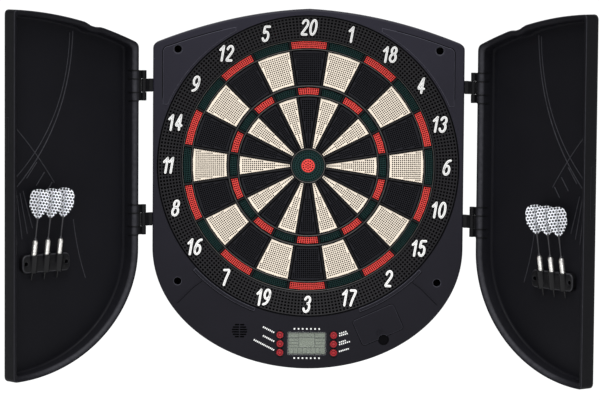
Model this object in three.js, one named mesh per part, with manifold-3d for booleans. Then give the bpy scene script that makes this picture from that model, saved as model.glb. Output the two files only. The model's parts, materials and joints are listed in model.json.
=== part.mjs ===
// Dart board cabinet: an electronic soft-tip board with two hinged doors that hold the darts.
// Millimetres, +Z up, front facing -Y. The origin is on the flat back, on the bull's axis.
import * as THREE from 'three';
import { mergeVertices } from 'three/addons/utils/BufferGeometryUtils.js';
import Module from 'manifold-3d';

const wasm = await Module();
wasm.setup();

// ---------------------------------------------------------------- driving dimensions
const GAP = 0.3; // between pieces that touch
const OVERCUT = 1; // how far a cutter runs past what it cuts

// Case outline: arched top, straight sides and a half-elliptical bottom.
const CASE_HALF_WIDTH = 244;
const TOP_PEAK = 246.3;
const TOP_SLOPE = 0.0472;
const TOP_RADIUS = 680;
const CASE_CORNER = 7;
const BELLY_Z = -129;
const BELLY_DROP = 190.5;
const CASE_DEPTH = 44;
const CASE_WALL = 2.5;
const CASE_CHAMFER = 3;

// Target: radii of the spider's cells, and depths measured from the wall.
const SECTORS = 20;
const SECTOR = (2 * Math.PI) / SECTORS;
const TARGET_SIDES = 2 * SECTORS;
const CELLS = {
  inner_single_segments: [27.6, 109.3],
  treble_segments: [111.7, 124.2],
  outer_single_segments: [127.6, 182.8],
  double_segments: [184.4, 197.4],
};
const SPIDER_RADIUS = 199;
const BULL_OPENING = 25.2;
const OUTER_BULL_RADIUS = 24.6;
const INNER_BULL_RADIUS = 10.5;
const SPIDER_HALF_WEB = 1.3;
const RUNNING_GAP = 0.6;
const SPIDER_FRONT = -28.5;
const SPIDER_BACK = -18;
const TARGET_FRONT = -26.5;
const CARRIER_THICKNESS = 1.5;
const MAT_RADIUS = 198;
const MAT_FRONT = -15;
const MAT_THICKNESS = 2.5;
const MEMBRANE_THICKNESS = 0.6;

// Catch ring and the collar of the case that holds it.
const RING_SIDES = 48;
const COLLAR_RADIUS = 236.5;
const COLLAR_WALL = 2.5;
const COLLAR_BACK = -24;
const CATCH_INNER = 199.8;
const CATCH_OUTER = 235.8;
const CATCH_FRONT_INNER = -30.5;
const CATCH_FRONT_OUTER = -41;
const CATCH_WALL = 2.2;

// Four wall screws through the corners.
const WALL_SCREWS = [[-205, 183], [205, 183], [-204, -182], [204, -182]];
const SCREW_HOLE = 2.6;
const SCREW_RECESS = 6;
const SCREW_BOSS = 8.5;
const SCREW_SEAT = 8;

// Control panel.
const PANEL_Z = -279.5;
const LENS = [61.4, 37];
const LENS_FRAME = 2.2;
const LENS_RECESS = 1.5;
const BUTTON_X = 42.3;
const BUTTON_ROWS = { top: 13.3, middle: -0.7, bottom: -14.5 };
const BUTTON_RADIUS = 5.4;
const BUTTON_HOLE = 6;
const BUTTON_PROUD = 2;
const BOARD_HALF = [60, 25];
const BOARD_FRONT = -30;
const BOARD_THICKNESS = 1.6;
const BOARD_LIFT = 4.5; // its middle is this far above the middle of the panel
const BOARD_POSTS = [[-54, 25.5], [54, 25.5], [-54, -16.5], [54, -16.5]];
const POST_RADIUS = 3;
const SWITCH_SIZE = 6;
const SWITCH_HEIGHT = 3;
const SPEAKER_AT = [-106, -260];
const SPEAKER_RADIUS = 14.5;
const GRILLE_RADIUS = 12;

// Battery cover, tilted with the curve of the case.
const BATTERY_AT = [112, -249];
const BATTERY_TILT = THREE.MathUtils.degToRad(24);
const BATTERY_COVER = [70, 43];
const BATTERY_RECESS = 1.5;
const BATTERY_BOX = [66, 39];
const BATTERY_OPENING = [60, 33];
const FINGER_NOTCH = [-1.4, -25, 8];

// Doors, and the angle at which each stands open.
const DOOR_OVERSIZE = 2;
const DOOR_DEPTH = 28;
const DOOR_SKIN = 2.4;
const DOOR_WALL = 3;
const HINGE_WALL = 5;
const DOOR_CHAMFER = 4;
const DOOR_CORNER = 5;
const DOOR_RIM = -45;
const FREE_EDGE = 1.6;
const LEFT_OPEN = THREE.MathUtils.degToRad(138);
const RIGHT_OPEN = THREE.MathUtils.degToRad(129);

// Hinges.
const HINGE_X = 258;
const HINGE_Y = -48;
const HINGE_HEIGHTS = { upper: 126, lower: -84.5 };
const HINGE_LENGTH = 47.4;
const BRACKET_LENGTH = 20.3;
const KNUCKLE_RADIUS = 4.2;
const KNUCKLE_GAP = 0.4;
const PIN_RADIUS = 1.5;
const PIN_BORE = 1.75;

// Dart holders and darts: distances along the dart from the middle of the holder.
const HOLDER = [92, 28];
const HOLDER_PLATE = 4;
const DART_PITCH = 24.6;
const DART_LEAN = THREE.MathUtils.degToRad(9);
const DART_OFFSET = 6.7;
const TUBE_RADIUS = 6.8;
const BARREL_BORE = 4.4;
const TIP_BORE = 2.4;
const BORE_STEP = -5;
const BARREL_RADIUS = 4;
const BARREL_END = 37;
const SHAFT_END = 72;
const FLIGHT_END = 117;
const FLIGHT_RADIUS = 14.5;
const FLIGHT_THICKNESS = 0.8;
const TIP_END = -26;

// ---------------------------------------------------------------- solids
function solid(geometry) {
  const bare = geometry.clone();
  bare.deleteAttribute('normal');
  bare.deleteAttribute('uv');
  const merged = mergeVertices(bare, 1e-4);
  const at = merged.attributes.position;
  const corner = merged.index.array;
  const faces = [];
  let volume = 0;
  const vertex = (i) => new THREE.Vector3().fromBufferAttribute(at, i);
  for (let i = 0; i < corner.length; i += 3) {
    const [p, q, r] = [corner[i], corner[i + 1], corner[i + 2]];
    if (p === q || q === r || r === p) continue;
    faces.push([p, q, r]);
    volume += vertex(p).dot(vertex(q).cross(vertex(r)));
  }
  const triVerts = new Uint32Array(faces.flatMap((f) => (volume > 0 ? f : [f[0], f[2], f[1]])));
  return new wasm.Manifold(new wasm.Mesh({ numProp: 3, vertProperties: at.array, triVerts }));
}

function toGeometry(manifold) {
  const mesh = manifold.getMesh();
  const geometry = new THREE.BufferGeometry();
  geometry.setAttribute('position', new THREE.BufferAttribute(mesh.vertProperties, 3));
  geometry.setIndex(new THREE.BufferAttribute(mesh.triVerts, 1));
  geometry.computeVertexNormals();
  return geometry;
}

const joined = (pieces) => pieces.reduce((whole, piece) => whole.add(piece));
const cutBy = (whole, cutters) => cutters.reduce((rest, cutter) => rest.subtract(cutter), whole);

// A plate seen from the front: its outline is drawn in X and Z, and it fills yBack to yFront.
function plate(points, yBack, yFront) {
  const options = { depth: yBack - yFront, bevelEnabled: false };
  const geometry = new THREE.ExtrudeGeometry(new THREE.Shape(points), options);
  return geometry.rotateX(Math.PI / 2).translate(0, yBack, 0);
}

// The same with its front edge chamfered.
function chamferedPlate(points, yBack, yFront, chamfer) {
  const options = {
    depth: yBack - yFront,
    bevelEnabled: true,
    bevelThickness: chamfer,
    bevelSize: chamfer,
    bevelOffset: -chamfer,
    bevelSegments: 1,
  };
  const geometry = new THREE.ExtrudeGeometry(new THREE.Shape(points), options);
  geometry.rotateX(Math.PI / 2).translate(0, yBack + chamfer, 0);
  const far = 2 * CASE_HALF_WIDTH;
  const behind = block([-far, far], [yBack, yBack + 3 * chamfer], [-far, far]);
  return solid(geometry).subtract(solid(behind));
}

function block([x0, x1], [y0, y1], [z0, z1]) {
  const geometry = new THREE.BoxGeometry(x1 - x0, y1 - y0, z1 - z0);
  return geometry.translate((x0 + x1) / 2, (y0 + y1) / 2, (z0 + z1) / 2);
}

// A round bar along Y.
function bar(radius, yBack, yFront, [x, z], sides) {
  const geometry = new THREE.CylinderGeometry(radius, radius, yBack - yFront, sides);
  return geometry.translate(x, (yBack + yFront) / 2, z);
}

// A closed profile of [radius, y] turned about the Y axis.
function turned(profile, sides) {
  const points = profile.map(([r, y]) => new THREE.Vector2(r, y));
  if (profile[0][0] > 0) points.push(points[0].clone());
  return new THREE.LatheGeometry(points, sides);
}

const ringProfile = (r0, r1, y0, y1) => [[r0, y0], [r1, y0], [r1, y1], [r0, y1]];

const range = (count) => Array.from({ length: count + 1 }, (_, i) => i / count);
const mix = (from, to, t) => from + (to - from) * t;
const polar = (radius, angle) => new THREE.Vector2(radius * Math.sin(angle), radius * Math.cos(angle));

function roundedRectangle([width, height], radius) {
  const [x, z] = [width / 2 - radius, height / 2 - radius];
  const corners = [[x, z], [x, -z], [-x, -z], [-x, z]];
  return corners.flatMap(([cx, cz], i) =>
    range(2).map((t) => polar(radius, (Math.PI / 2) * (i + t)).add(new THREE.Vector2(cx, cz))));
}

// ---------------------------------------------------------------- outlines
const topZ = (x) => TOP_PEAK - TOP_SLOPE * x - (x * x) / (2 * TOP_RADIUS);

// One half of the outline from the top at x = near round to the bottom at x = near, grown by grow.
function halfOutline(near, corner, grow, sideGrow = grow) {
  const side = CASE_HALF_WIDTH + sideGrow;
  const drop = BELLY_DROP + grow;
  const edge = side - corner;
  const shoulder = topZ(side) + grow;
  const roof = range(6).map((t) => mix(near, edge, t)).map((x) => new THREE.Vector2(x, topZ(x) + grow));
  const turn = new THREE.QuadraticBezierCurve(
    roof.at(-1), new THREE.Vector2(side, shoulder), new THREE.Vector2(side, shoulder - corner));
  const last = Math.acos(near / side);
  const belly = range(10).map((t) => new THREE.Vector2(
    side * Math.cos(last * t), BELLY_Z - drop * Math.sin(last * t)));
  return [...roof, ...turn.getPoints(2).slice(1), ...belly];
}

function caseOutline(grow) {
  const half = halfOutline(0, CASE_CORNER, grow);
  const other = half.slice(1, -1).map((p) => new THREE.Vector2(-p.x, p.y)).reverse();
  return [...half, ...other];
}

// side is -1 for the left door and 1 for the right one.
function doorOutline(side, inset, hingeInset) {
  const half = halfOutline(
    FREE_EDGE + inset, DOOR_CORNER, DOOR_OVERSIZE - inset, DOOR_OVERSIZE - hingeInset);
  return half.map((p) => new THREE.Vector2(side * p.x, p.y));
}

// One cell of the target, centred on +Z.
function cellOutline(inner, outer, halfGap) {
  const reach = (radius) => SECTOR / 2 - Math.asin(halfGap / radius);
  const arc = (radius) => [-1, 0, 1].map((t) => polar(radius, reach(radius) * t));
  return [...arc(inner), ...arc(outer).reverse()];
}

// ---------------------------------------------------------------- case
const tilted = (geometry) => geometry.rotateY(-BATTERY_TILT).translate(BATTERY_AT[0], 0, BATTERY_AT[1]);
const buttonPlaces = [-1, 1].flatMap((side) =>
  Object.entries(BUTTON_ROWS).map(([row, lift]) => ({
    name: `button_${side < 0 ? 'left' : 'right'}_${row}`,
    at: [side * BUTTON_X, PANEL_Z + lift],
  })));

function speakerSlots() {
  const pitch = 3.8;
  const height = 1.9;
  const halfBar = 0.8;
  return [-2.5, -1.5, -0.5, 0.5, 1.5, 2.5].flatMap((row) => {
    const lift = row * pitch;
    const reach = Math.sqrt(GRILLE_RADIUS ** 2 - lift ** 2);
    const z = SPEAKER_AT[1] + lift;
    return [[-reach, -halfBar], [halfBar, reach]].map(([from, to]) => solid(block(
      [SPEAKER_AT[0] + from, SPEAKER_AT[0] + to],
      [-CASE_DEPTH - OVERCUT, -CASE_DEPTH + CASE_WALL + OVERCUT],
      [z - height / 2, z + height / 2])));
  });
}

function frontFrame() {
  const front = -CASE_DEPTH;
  const wallBack = front + CASE_WALL;
  const shell = chamferedPlate(caseOutline(0), 0, front, CASE_CHAMFER)
    .subtract(solid(plate(caseOutline(-CASE_WALL), OVERCUT, wallBack)));
  const collarOuter = COLLAR_RADIUS + COLLAR_WALL;
  const speakerWall = [SPEAKER_RADIUS + 0.4, SPEAKER_RADIUS + 2];
  const additions = [
    solid(turned(ringProfile(COLLAR_RADIUS, collarOuter, COLLAR_BACK, front + OVERCUT), RING_SIDES)),
    solid(turned(ringProfile(...speakerWall, wallBack + 6, wallBack - OVERCUT), 12)
      .translate(SPEAKER_AT[0], 0, SPEAKER_AT[1])),
    ...BOARD_POSTS.map(([x, z]) =>
      solid(bar(POST_RADIUS, BOARD_FRONT - GAP, wallBack - OVERCUT, [x, PANEL_Z + z], 6))),
    ...WALL_SCREWS.map((at) => solid(bar(SCREW_BOSS, 0, wallBack - OVERCUT, at, 10))),
  ];
  const [lensX, lensZ] = [LENS[0] / 2, LENS[1] / 2];
  const through = [front - OVERCUT, wallBack + OVERCUT];
  const cutters = [
    solid(bar(COLLAR_RADIUS, wallBack + 2, front - OVERCUT, [0, 0], RING_SIDES)),
    ...WALL_SCREWS.flatMap((at) => [
      solid(bar(SCREW_RECESS, -SCREW_SEAT, front - OVERCUT, at, 10)),
      solid(bar(SCREW_HOLE, OVERCUT, -SCREW_SEAT - OVERCUT, at, 8)),
    ]),
    solid(block([-lensX, lensX], [front - OVERCUT, front + LENS_RECESS], [PANEL_Z - lensZ, PANEL_Z + lensZ])),
    solid(block([LENS_FRAME - lensX, lensX - LENS_FRAME], through,
      [PANEL_Z - lensZ + LENS_FRAME, PANEL_Z + lensZ - LENS_FRAME])),
    ...buttonPlaces.map(({ at }) => solid(bar(BUTTON_HOLE, through[1], through[0], at, 10))),
    solid(tilted(plate(roundedRectangle(BATTERY_COVER, 5), front + BATTERY_RECESS, front - OVERCUT))),
    solid(tilted(bar(FINGER_NOTCH[2], front + BATTERY_RECESS, front - OVERCUT, FINGER_NOTCH, 12))),
    solid(tilted(plate(roundedRectangle(BATTERY_OPENING, 2), through[1], through[0]))),
    ...speakerSlots(),
  ];
  return cutBy(joined([shell, ...additions]), cutters);
}

function backCover() {
  const hubRadius = 40;
  const sheet = plate(caseOutline(-CASE_WALL - GAP), 0, -CASE_WALL);
  const ribFront = MAT_FRONT + MAT_THICKNESS + MEMBRANE_THICKNESS + 2 * GAP;
  const ribs = range(5).slice(1).map((t) => solid(
    block([-MAT_RADIUS + 6, MAT_RADIUS - 6], [ribFront, -OVERCUT], [-1, 1]).rotateY(Math.PI * t)));
  const hub = solid(bar(hubRadius, -OVERCUT, ribFront, [0, 0], 10));
  const rim = solid(turned(ringProfile(MAT_RADIUS - 8, MAT_RADIUS - 5, -OVERCUT, ribFront), SECTORS));
  const holes = WALL_SCREWS.map((at) =>
    solid(bar(SCREW_BOSS + 0.5, OVERCUT, -CASE_WALL - OVERCUT, at, 10)));
  return cutBy(joined([solid(sheet), hub, rim, ...ribs]), holes);
}

function catchRing() {
  const skirt = SPIDER_BACK - OVERCUT;
  return solid(turned([
    [CATCH_INNER, CATCH_FRONT_INNER],
    [CATCH_OUTER, CATCH_FRONT_OUTER],
    [CATCH_OUTER, skirt],
    [CATCH_OUTER - CATCH_WALL, skirt],
    [CATCH_OUTER - CATCH_WALL, CATCH_FRONT_OUTER + 3],
    [CATCH_INNER, CATCH_FRONT_INNER + 2.4],
  ], RING_SIDES));
}

// ---------------------------------------------------------------- target
function spider() {
  const disc = solid(turned(
    ringProfile(BULL_OPENING, SPIDER_RADIUS, SPIDER_BACK, SPIDER_FRONT), TARGET_SIDES));
  const cells = Object.values(CELLS).flatMap(([inner, outer]) => {
    const cell = plate(
      cellOutline(inner, outer, SPIDER_HALF_WEB), SPIDER_BACK + OVERCUT, SPIDER_FRONT - OVERCUT);
    return range(SECTORS).slice(1).map((t) => solid(cell.clone().rotateY(2 * Math.PI * t)));
  });
  return cutBy(disc, cells);
}

// The twenty segments of one ring, on the thin carrier that keeps them behind the spider.
function segmentRing([cellInner, cellOuter]) {
  const [inner, outer] = [cellInner + RUNNING_GAP, cellOuter - RUNNING_GAP];
  const carrierFront = SPIDER_BACK + GAP;
  const carrierBack = carrierFront + CARRIER_THICKNESS;
  const hold = ringProfile(mix(inner, outer, 0.3), mix(inner, outer, 0.8), carrierBack, carrierFront);
  const carrier = solid(turned(hold, SECTORS));
  const outline = cellOutline(inner, outer, SPIDER_HALF_WEB + RUNNING_GAP);
  const segments = range(SECTORS).slice(1).map((t) =>
    solid(plate(outline, carrierFront + 0.7, TARGET_FRONT).rotateY(2 * Math.PI * t)));
  return joined([carrier, ...segments]);
}

function outerBull() {
  const back = SPIDER_BACK + GAP + CARRIER_THICKNESS;
  const bore = INNER_BULL_RADIUS + 0.5;
  return solid(turned([
    [bore, TARGET_FRONT],
    [OUTER_BULL_RADIUS, TARGET_FRONT],
    [OUTER_BULL_RADIUS, SPIDER_BACK + GAP],
    [OUTER_BULL_RADIUS + 2.4, SPIDER_BACK + GAP],
    [OUTER_BULL_RADIUS + 2.4, back],
    [bore + 2.4, back],
    [bore + 2.4, SPIDER_BACK - 2],
    [bore, SPIDER_BACK - 2],
  ], SECTORS));
}

function innerBull() {
  const back = SPIDER_BACK + GAP + CARRIER_THICKNESS;
  return solid(turned([
    [0, TARGET_FRONT - 0.5],
    [INNER_BULL_RADIUS, TARGET_FRONT - 0.5],
    [INNER_BULL_RADIUS, SPIDER_BACK - 1],
    [INNER_BULL_RADIUS + 1.8, SPIDER_BACK - 1],
    [INNER_BULL_RADIUS + 1.8, back],
    [0, back],
  ], SECTORS));
}

function rubberMat() {
  return solid(bar(MAT_RADIUS, MAT_FRONT + MAT_THICKNESS, MAT_FRONT, [0, 0], SECTORS));
}

function sensorMembrane() {
  const front = MAT_FRONT + MAT_THICKNESS + GAP;
  const back = front + MEMBRANE_THICKNESS;
  const disc = solid(bar(MAT_RADIUS, back, front, [0, 0], SECTORS));
  return disc.add(solid(block([-20, 20], [front, back], [PANEL_Z + 15, -MAT_RADIUS + 8])));
}

// ---------------------------------------------------------------- electronics
function circuitBoard() {
  const [halfX, halfZ] = BOARD_HALF;
  const middle = PANEL_Z + BOARD_LIFT;
  const half = SWITCH_SIZE / 2;
  const board = solid(block(
    [-halfX, halfX], [BOARD_FRONT, BOARD_FRONT + BOARD_THICKNESS], [middle - halfZ, middle + halfZ]));
  const switches = buttonPlaces.map(({ at: [x, z] }) => solid(block(
    [x - half, x + half], [BOARD_FRONT - SWITCH_HEIGHT, BOARD_FRONT + 0.5], [z - half, z + half])));
  return joined([board, ...switches]);
}

function lcdModule() {
  const front = -CASE_DEPTH + CASE_WALL + GAP;
  const [halfX, thickness, halfZ] = [30, 5.2, 18];
  return solid(block([-halfX, halfX], [front, front + thickness], [PANEL_Z - halfZ, PANEL_Z + halfZ]));
}

function lcdWindow() {
  const [x, z] = [LENS[0] / 2 - GAP, LENS[1] / 2 - GAP];
  const back = -CASE_DEPTH + LENS_RECESS - GAP;
  const thickness = 1.1;
  return solid(block([-x, x], [back - thickness, back], [PANEL_Z - z, PANEL_Z + z]));
}

function button([x, z]) {
  const front = -CASE_DEPTH - BUTTON_PROUD;
  const flange = -CASE_DEPTH + CASE_WALL + GAP;
  return solid(turned([
    [0, front],
    [BUTTON_RADIUS - 0.8, front],
    [BUTTON_RADIUS, front + 0.8],
    [BUTTON_RADIUS, flange],
    [BUTTON_RADIUS + 1.1, flange],
    [BUTTON_RADIUS + 1.1, flange + 1.5],
    [2.5, flange + 1.5],
    [2.5, BOARD_FRONT - 4.6],
    [0, BOARD_FRONT - 4.6],
  ], 8).translate(x, 0, z));
}

function speaker() {
  const front = -CASE_DEPTH + CASE_WALL + GAP;
  return solid(turned([
    [0, front + 4],
    [4, front + 4],
    [SPEAKER_RADIUS - 2, front],
    [SPEAKER_RADIUS, front],
    [SPEAKER_RADIUS, front + 3],
    [9, front + 8],
    [9, front + 13],
    [0, front + 13],
  ], 12).translate(SPEAKER_AT[0], 0, SPEAKER_AT[1]));
}

function batteryBox() {
  const front = -CASE_DEPTH + CASE_WALL + GAP;
  const [x, z] = [BATTERY_BOX[0] / 2, BATTERY_BOX[1] / 2];
  const depth = 16;
  const wall = 1.8;
  const outside = solid(block([-x, x], [front, front + depth], [-z, z]));
  const inside = solid(block(
    [wall - x, x - wall], [front - OVERCUT, front + depth - wall], [wall - z, z - wall]));
  return solid(tilted(toGeometry(outside.subtract(inside))));
}

function batteryCover() {
  const size = BATTERY_COVER.map((length) => length - 2 * GAP);
  const back = -CASE_DEPTH + BATTERY_RECESS - GAP;
  const thickness = 1.4;
  const sheet = solid(plate(roundedRectangle(size, 5 - GAP), back, back - thickness));
  const notch = solid(bar(FINGER_NOTCH[2], back + OVERCUT, back - 3, FINGER_NOTCH, 12));
  return solid(tilted(toGeometry(sheet.subtract(notch))));
}

// ---------------------------------------------------------------- doors and hinges
// Hinge pieces are drawn from above about their pin: u runs from the pin towards the centre line.
function hingePart(points, zFrom, zTo, side) {
  const outline = points.map(([u, v]) => new THREE.Vector2(-side * u, v));
  const options = { depth: zTo - zFrom, bevelEnabled: false };
  return solid(new THREE.ExtrudeGeometry(new THREE.Shape(outline), options).translate(0, 0, zFrom));
}

function upright(radius, zFrom, zTo, sides) {
  const geometry = new THREE.CylinderGeometry(radius, radius, zTo - zFrom, sides);
  return solid(geometry.rotateX(Math.PI / 2).translate(0, 0, (zFrom + zTo) / 2));
}

function hingeBracket(side) {
  const half = BRACKET_LENGTH / 2;
  const root = HINGE_X - CASE_HALF_WIDTH - GAP;
  const arm = [[-3.6, 1.5], [3.8, -1.2], [8.5, 4.6], [root, 4.6], [root, 15], [10, 15]];
  return joined([hingePart(arm, -half, half, side), upright(KNUCKLE_RADIUS, -half, half, 10)])
    .subtract(upright(PIN_BORE, -half - OVERCUT, half + OVERCUT, 8));
}

const hingePin = () => upright(PIN_RADIUS, -HINGE_LENGTH / 2 + OVERCUT, HINGE_LENGTH / 2 - OVERCUT, 8);

function doorKnuckles(side) {
  const from = BRACKET_LENGTH / 2 + KNUCKLE_GAP;
  const to = HINGE_LENGTH / 2;
  const wall = HINGE_X - CASE_HALF_WIDTH - DOOR_OVERSIZE;
  const arm = [[0, -1.5], [wall + 2, -1.5], [wall + 2, -8], [4, -6]];
  return Object.values(HINGE_HEIGHTS).flatMap((z) => [[z + from, z + to], [z - to, z - from]])
    .map(([low, high]) => joined([hingePart(arm, low, high, side), upright(KNUCKLE_RADIUS, low, high, 10)])
      .subtract(upright(PIN_BORE, low - OVERCUT, high + OVERCUT, 8)));
}

// A door is drawn closed and then moved so that its hinge axis is the local Z axis.
function door(side) {
  const skin = DOOR_RIM - DOOR_DEPTH;
  const shell = chamferedPlate(doorOutline(side, 0, 0), DOOR_RIM, skin, DOOR_CHAMFER)
    .subtract(solid(plate(doorOutline(side, DOOR_WALL, HINGE_WALL), DOOR_RIM + OVERCUT, skin + DOOR_SKIN)));
  const tabZ = side < 0 ? [30, 84] : [-62, 18];
  const tabX = [side * (FREE_EDGE + 1.5), side * (FREE_EDGE - 1.1)].sort((a, b) => a - b);
  const tab = solid(block(tabX, [skin + DOOR_CHAMFER, skin + 14], tabZ));
  const placed = solid(toGeometry(shell.add(tab)).translate(-side * HINGE_X, -HINGE_Y, 0));
  return joined([placed, ...doorKnuckles(side)]);
}

// ---------------------------------------------------------------- dart holders and darts
// Drawn with X along the holder, Y out of the door panel and Z up; each dart leans away from it.
const dartPlaces = [-1, 0, 1].map((i) => i * DART_PITCH);

function alongDart(geometry, x) {
  return geometry.rotateX(-DART_LEAN).translate(x, DART_OFFSET, 0);
}

const dartBar = (r0, r1, from, to, sides) =>
  new THREE.CylinderGeometry(r1, r0, to - from, sides).rotateX(Math.PI / 2).translate(0, 0, (from + to) / 2);

function dartHolder() {
  const half = HOLDER[1] / 2;
  const back = solid(plate(roundedRectangle(HOLDER, 9), HOLDER_PLATE, GAP));
  const tubes = dartPlaces.map((x) => solid(alongDart(dartBar(TUBE_RADIUS, TUBE_RADIUS, -30, 30, 10), x)));
  const bores = dartPlaces.flatMap((x) => [
    solid(alongDart(dartBar(BARREL_BORE, BARREL_BORE, BORE_STEP, 40, 10), x)),
    solid(alongDart(dartBar(TIP_BORE, TIP_BORE, -40, BORE_STEP + OVERCUT, 8), x)),
  ]);
  const screws = [-1, 1].map((end) => {
    const x = end * (HOLDER[0] / 2 - 7);
    return solid(bar(2, 2 * HOLDER_PLATE, -OVERCUT, [x, 0], 8));
  });
  const far = 60;
  const trims = [
    [[-far, far], [-far, GAP], [-far, far]],
    [[-far, far], [-far, far], [half, far]],
    [[-far, far], [-far, far], [-far, -half]],
  ].map((sides) => solid(block(...sides)));
  return cutBy(joined([back, ...tubes]), [...trims, ...bores, ...screws]);
}

// A turned piece of the dart: profile of [distance along the dart, radius], closed on its axis.
function dartTurned(profile, sides) {
  const points = [[profile[0][0], 0], ...profile, [profile.at(-1)[0], 0]];
  return new THREE.LatheGeometry(points.map(([s, r]) => new THREE.Vector2(r, s)), sides).rotateX(Math.PI / 2);
}

const dartPieces = {
  tip: () => dartTurned([[TIP_END, 0.6], [BORE_STEP - 3, 1.4], [BORE_STEP, 1.9]], 6),
  barrel: () => dartTurned([
    [BORE_STEP + GAP, 2.6],
    [BORE_STEP + 5, BARREL_RADIUS],
    [BARREL_END - 4, BARREL_RADIUS],
    [BARREL_END, 2.6],
  ], 8),
  shaft: () => dartTurned([[BARREL_END + GAP, 2.4], [BARREL_END + 4, 1.5], [SHAFT_END - GAP, 1.9]], 6),
  flight: () => {
    const half = FLIGHT_THICKNESS / 2;
    const outline = [
      [0, SHAFT_END], [3, SHAFT_END], [FLIGHT_RADIUS - 3, SHAFT_END + 9.5],
      [FLIGHT_RADIUS, SHAFT_END + 21], [FLIGHT_RADIUS, SHAFT_END + 29],
      [FLIGHT_RADIUS - 4, FLIGHT_END - 4.5], [FLIGHT_RADIUS - 9.5, FLIGHT_END], [0, FLIGHT_END],
    ];
    const whole = [...outline, ...outline.slice(1, -1).map(([x, z]) => [-x, z]).reverse()];
    const vane = plate(whole.map(([x, z]) => new THREE.Vector2(x, z)), half, -half);
    const turns = [Math.PI / 4, -Math.PI / 4];
    return toGeometry(joined(turns.map((turn) => solid(vane.clone().rotateZ(turn)))));
  },
};

// ---------------------------------------------------------------- materials
function material(color, roughness, metalness = 0) {
  return () => new THREE.MeshStandardMaterial({ color, roughness, metalness });
}
const finishes = {
  case: material(0x2b2b32, 0.55),
  door: material(0x18191c, 0.35),
  ring: material(0x1a1a1e, 0.6),
  white: material(0xf0efe8, 0.5),
  black: material(0x15151a, 0.6),
  red: material(0xd8392f, 0.45),
  green: material(0x1d3c37, 0.5),
  rubber: material(0x26262a, 0.9),
  film: material(0xb9a35a, 0.4),
  board: material(0x1f6b3a, 0.5),
  screen: material(0x969e8c, 0.3),
  steel: material(0xb9bcc0, 0.3, 1),
  tip: material(0x101012, 0.5),
};

// ---------------------------------------------------------------- assembly
const group = new THREE.Group();

function place(parent, name, finish, geometry, [x, y, z] = [0, 0, 0]) {
  const mesh = new THREE.Mesh(geometry, finishes[finish]());
  mesh.name = name;
  mesh.position.set(x, y, z);
  parent.add(mesh);
}

place(group, 'front_frame', 'case', toGeometry(frontFrame()));
place(group, 'back_cover', 'case', toGeometry(backCover()));
place(group, 'catch_ring', 'ring', toGeometry(catchRing()));
place(group, 'spider', 'ring', toGeometry(spider()));
for (const [name, cells] of Object.entries(CELLS)) {
  place(group, name, name.includes('single') ? 'white' : 'red', toGeometry(segmentRing(cells)));
}
place(group, 'outer_bull', 'green', toGeometry(outerBull()));
place(group, 'inner_bull', 'red', toGeometry(innerBull()));
place(group, 'rubber_mat', 'rubber', toGeometry(rubberMat()));
place(group, 'sensor_membrane', 'film', toGeometry(sensorMembrane()));
place(group, 'circuit_board', 'board', toGeometry(circuitBoard()));
place(group, 'lcd_module', 'screen', toGeometry(lcdModule()));
place(group, 'lcd_window', 'screen', toGeometry(lcdWindow()));
place(group, 'speaker', 'black', toGeometry(speaker()));
place(group, 'battery_box', 'black', toGeometry(batteryBox()));
place(group, 'battery_cover', 'case', toGeometry(batteryCover()));
for (const { name, at } of buttonPlaces) {
  place(group, name, 'red', toGeometry(button(at)));
}

const sides = {
  left: { side: -1, open: -LEFT_OPEN, holder: [77, -143] },
  right: { side: 1, open: RIGHT_OPEN, holder: [88.5, -163] },
};
for (const [word, { side, open, holder }] of Object.entries(sides)) {
  for (const [level, z] of Object.entries(HINGE_HEIGHTS)) {
    const at = [side * HINGE_X, HINGE_Y, z];
    place(group, `hinge_bracket_${word}_${level}`, 'door', toGeometry(hingeBracket(side)), at);
    place(group, `hinge_pin_${word}_${level}`, 'steel', toGeometry(hingePin()), at);
  }
  const swing = new THREE.Group();
  swing.position.set(side * HINGE_X, HINGE_Y, 0);
  swing.rotation.z = open;
  group.add(swing);
  place(swing, `${word}_door`, 'door', toGeometry(door(side)));

  const panel = DOOR_RIM - DOOR_DEPTH + DOOR_SKIN;
  const rack = new THREE.Group();
  rack.position.set(side * (holder[0] - HINGE_X), panel - HINGE_Y, holder[1]);
  swing.add(rack);
  place(rack, `${word}_dart_holder`, 'black', toGeometry(dartHolder()));
  dartPlaces.forEach((x, i) => {
    for (const [piece, make] of Object.entries(dartPieces)) {
      const finish = { tip: 'tip', barrel: 'steel', shaft: 'black', flight: 'white' }[piece];
      place(rack, `dart_${word}_${i + 1}_${piece}`, finish, toGeometry(solid(alongDart(make(), x))));
    }
  });
}

export default group;
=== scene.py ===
"""Dart board cabinet: the looks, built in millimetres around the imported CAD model."""

import json
from math import acos, asin, atan2, cos, degrees, hypot, pi, radians, sin, sqrt

import bmesh
import bpy
import numpy as np
from mathutils import Matrix, Vector
from mathutils.geometry import delaunay_2d_cdt


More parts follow.
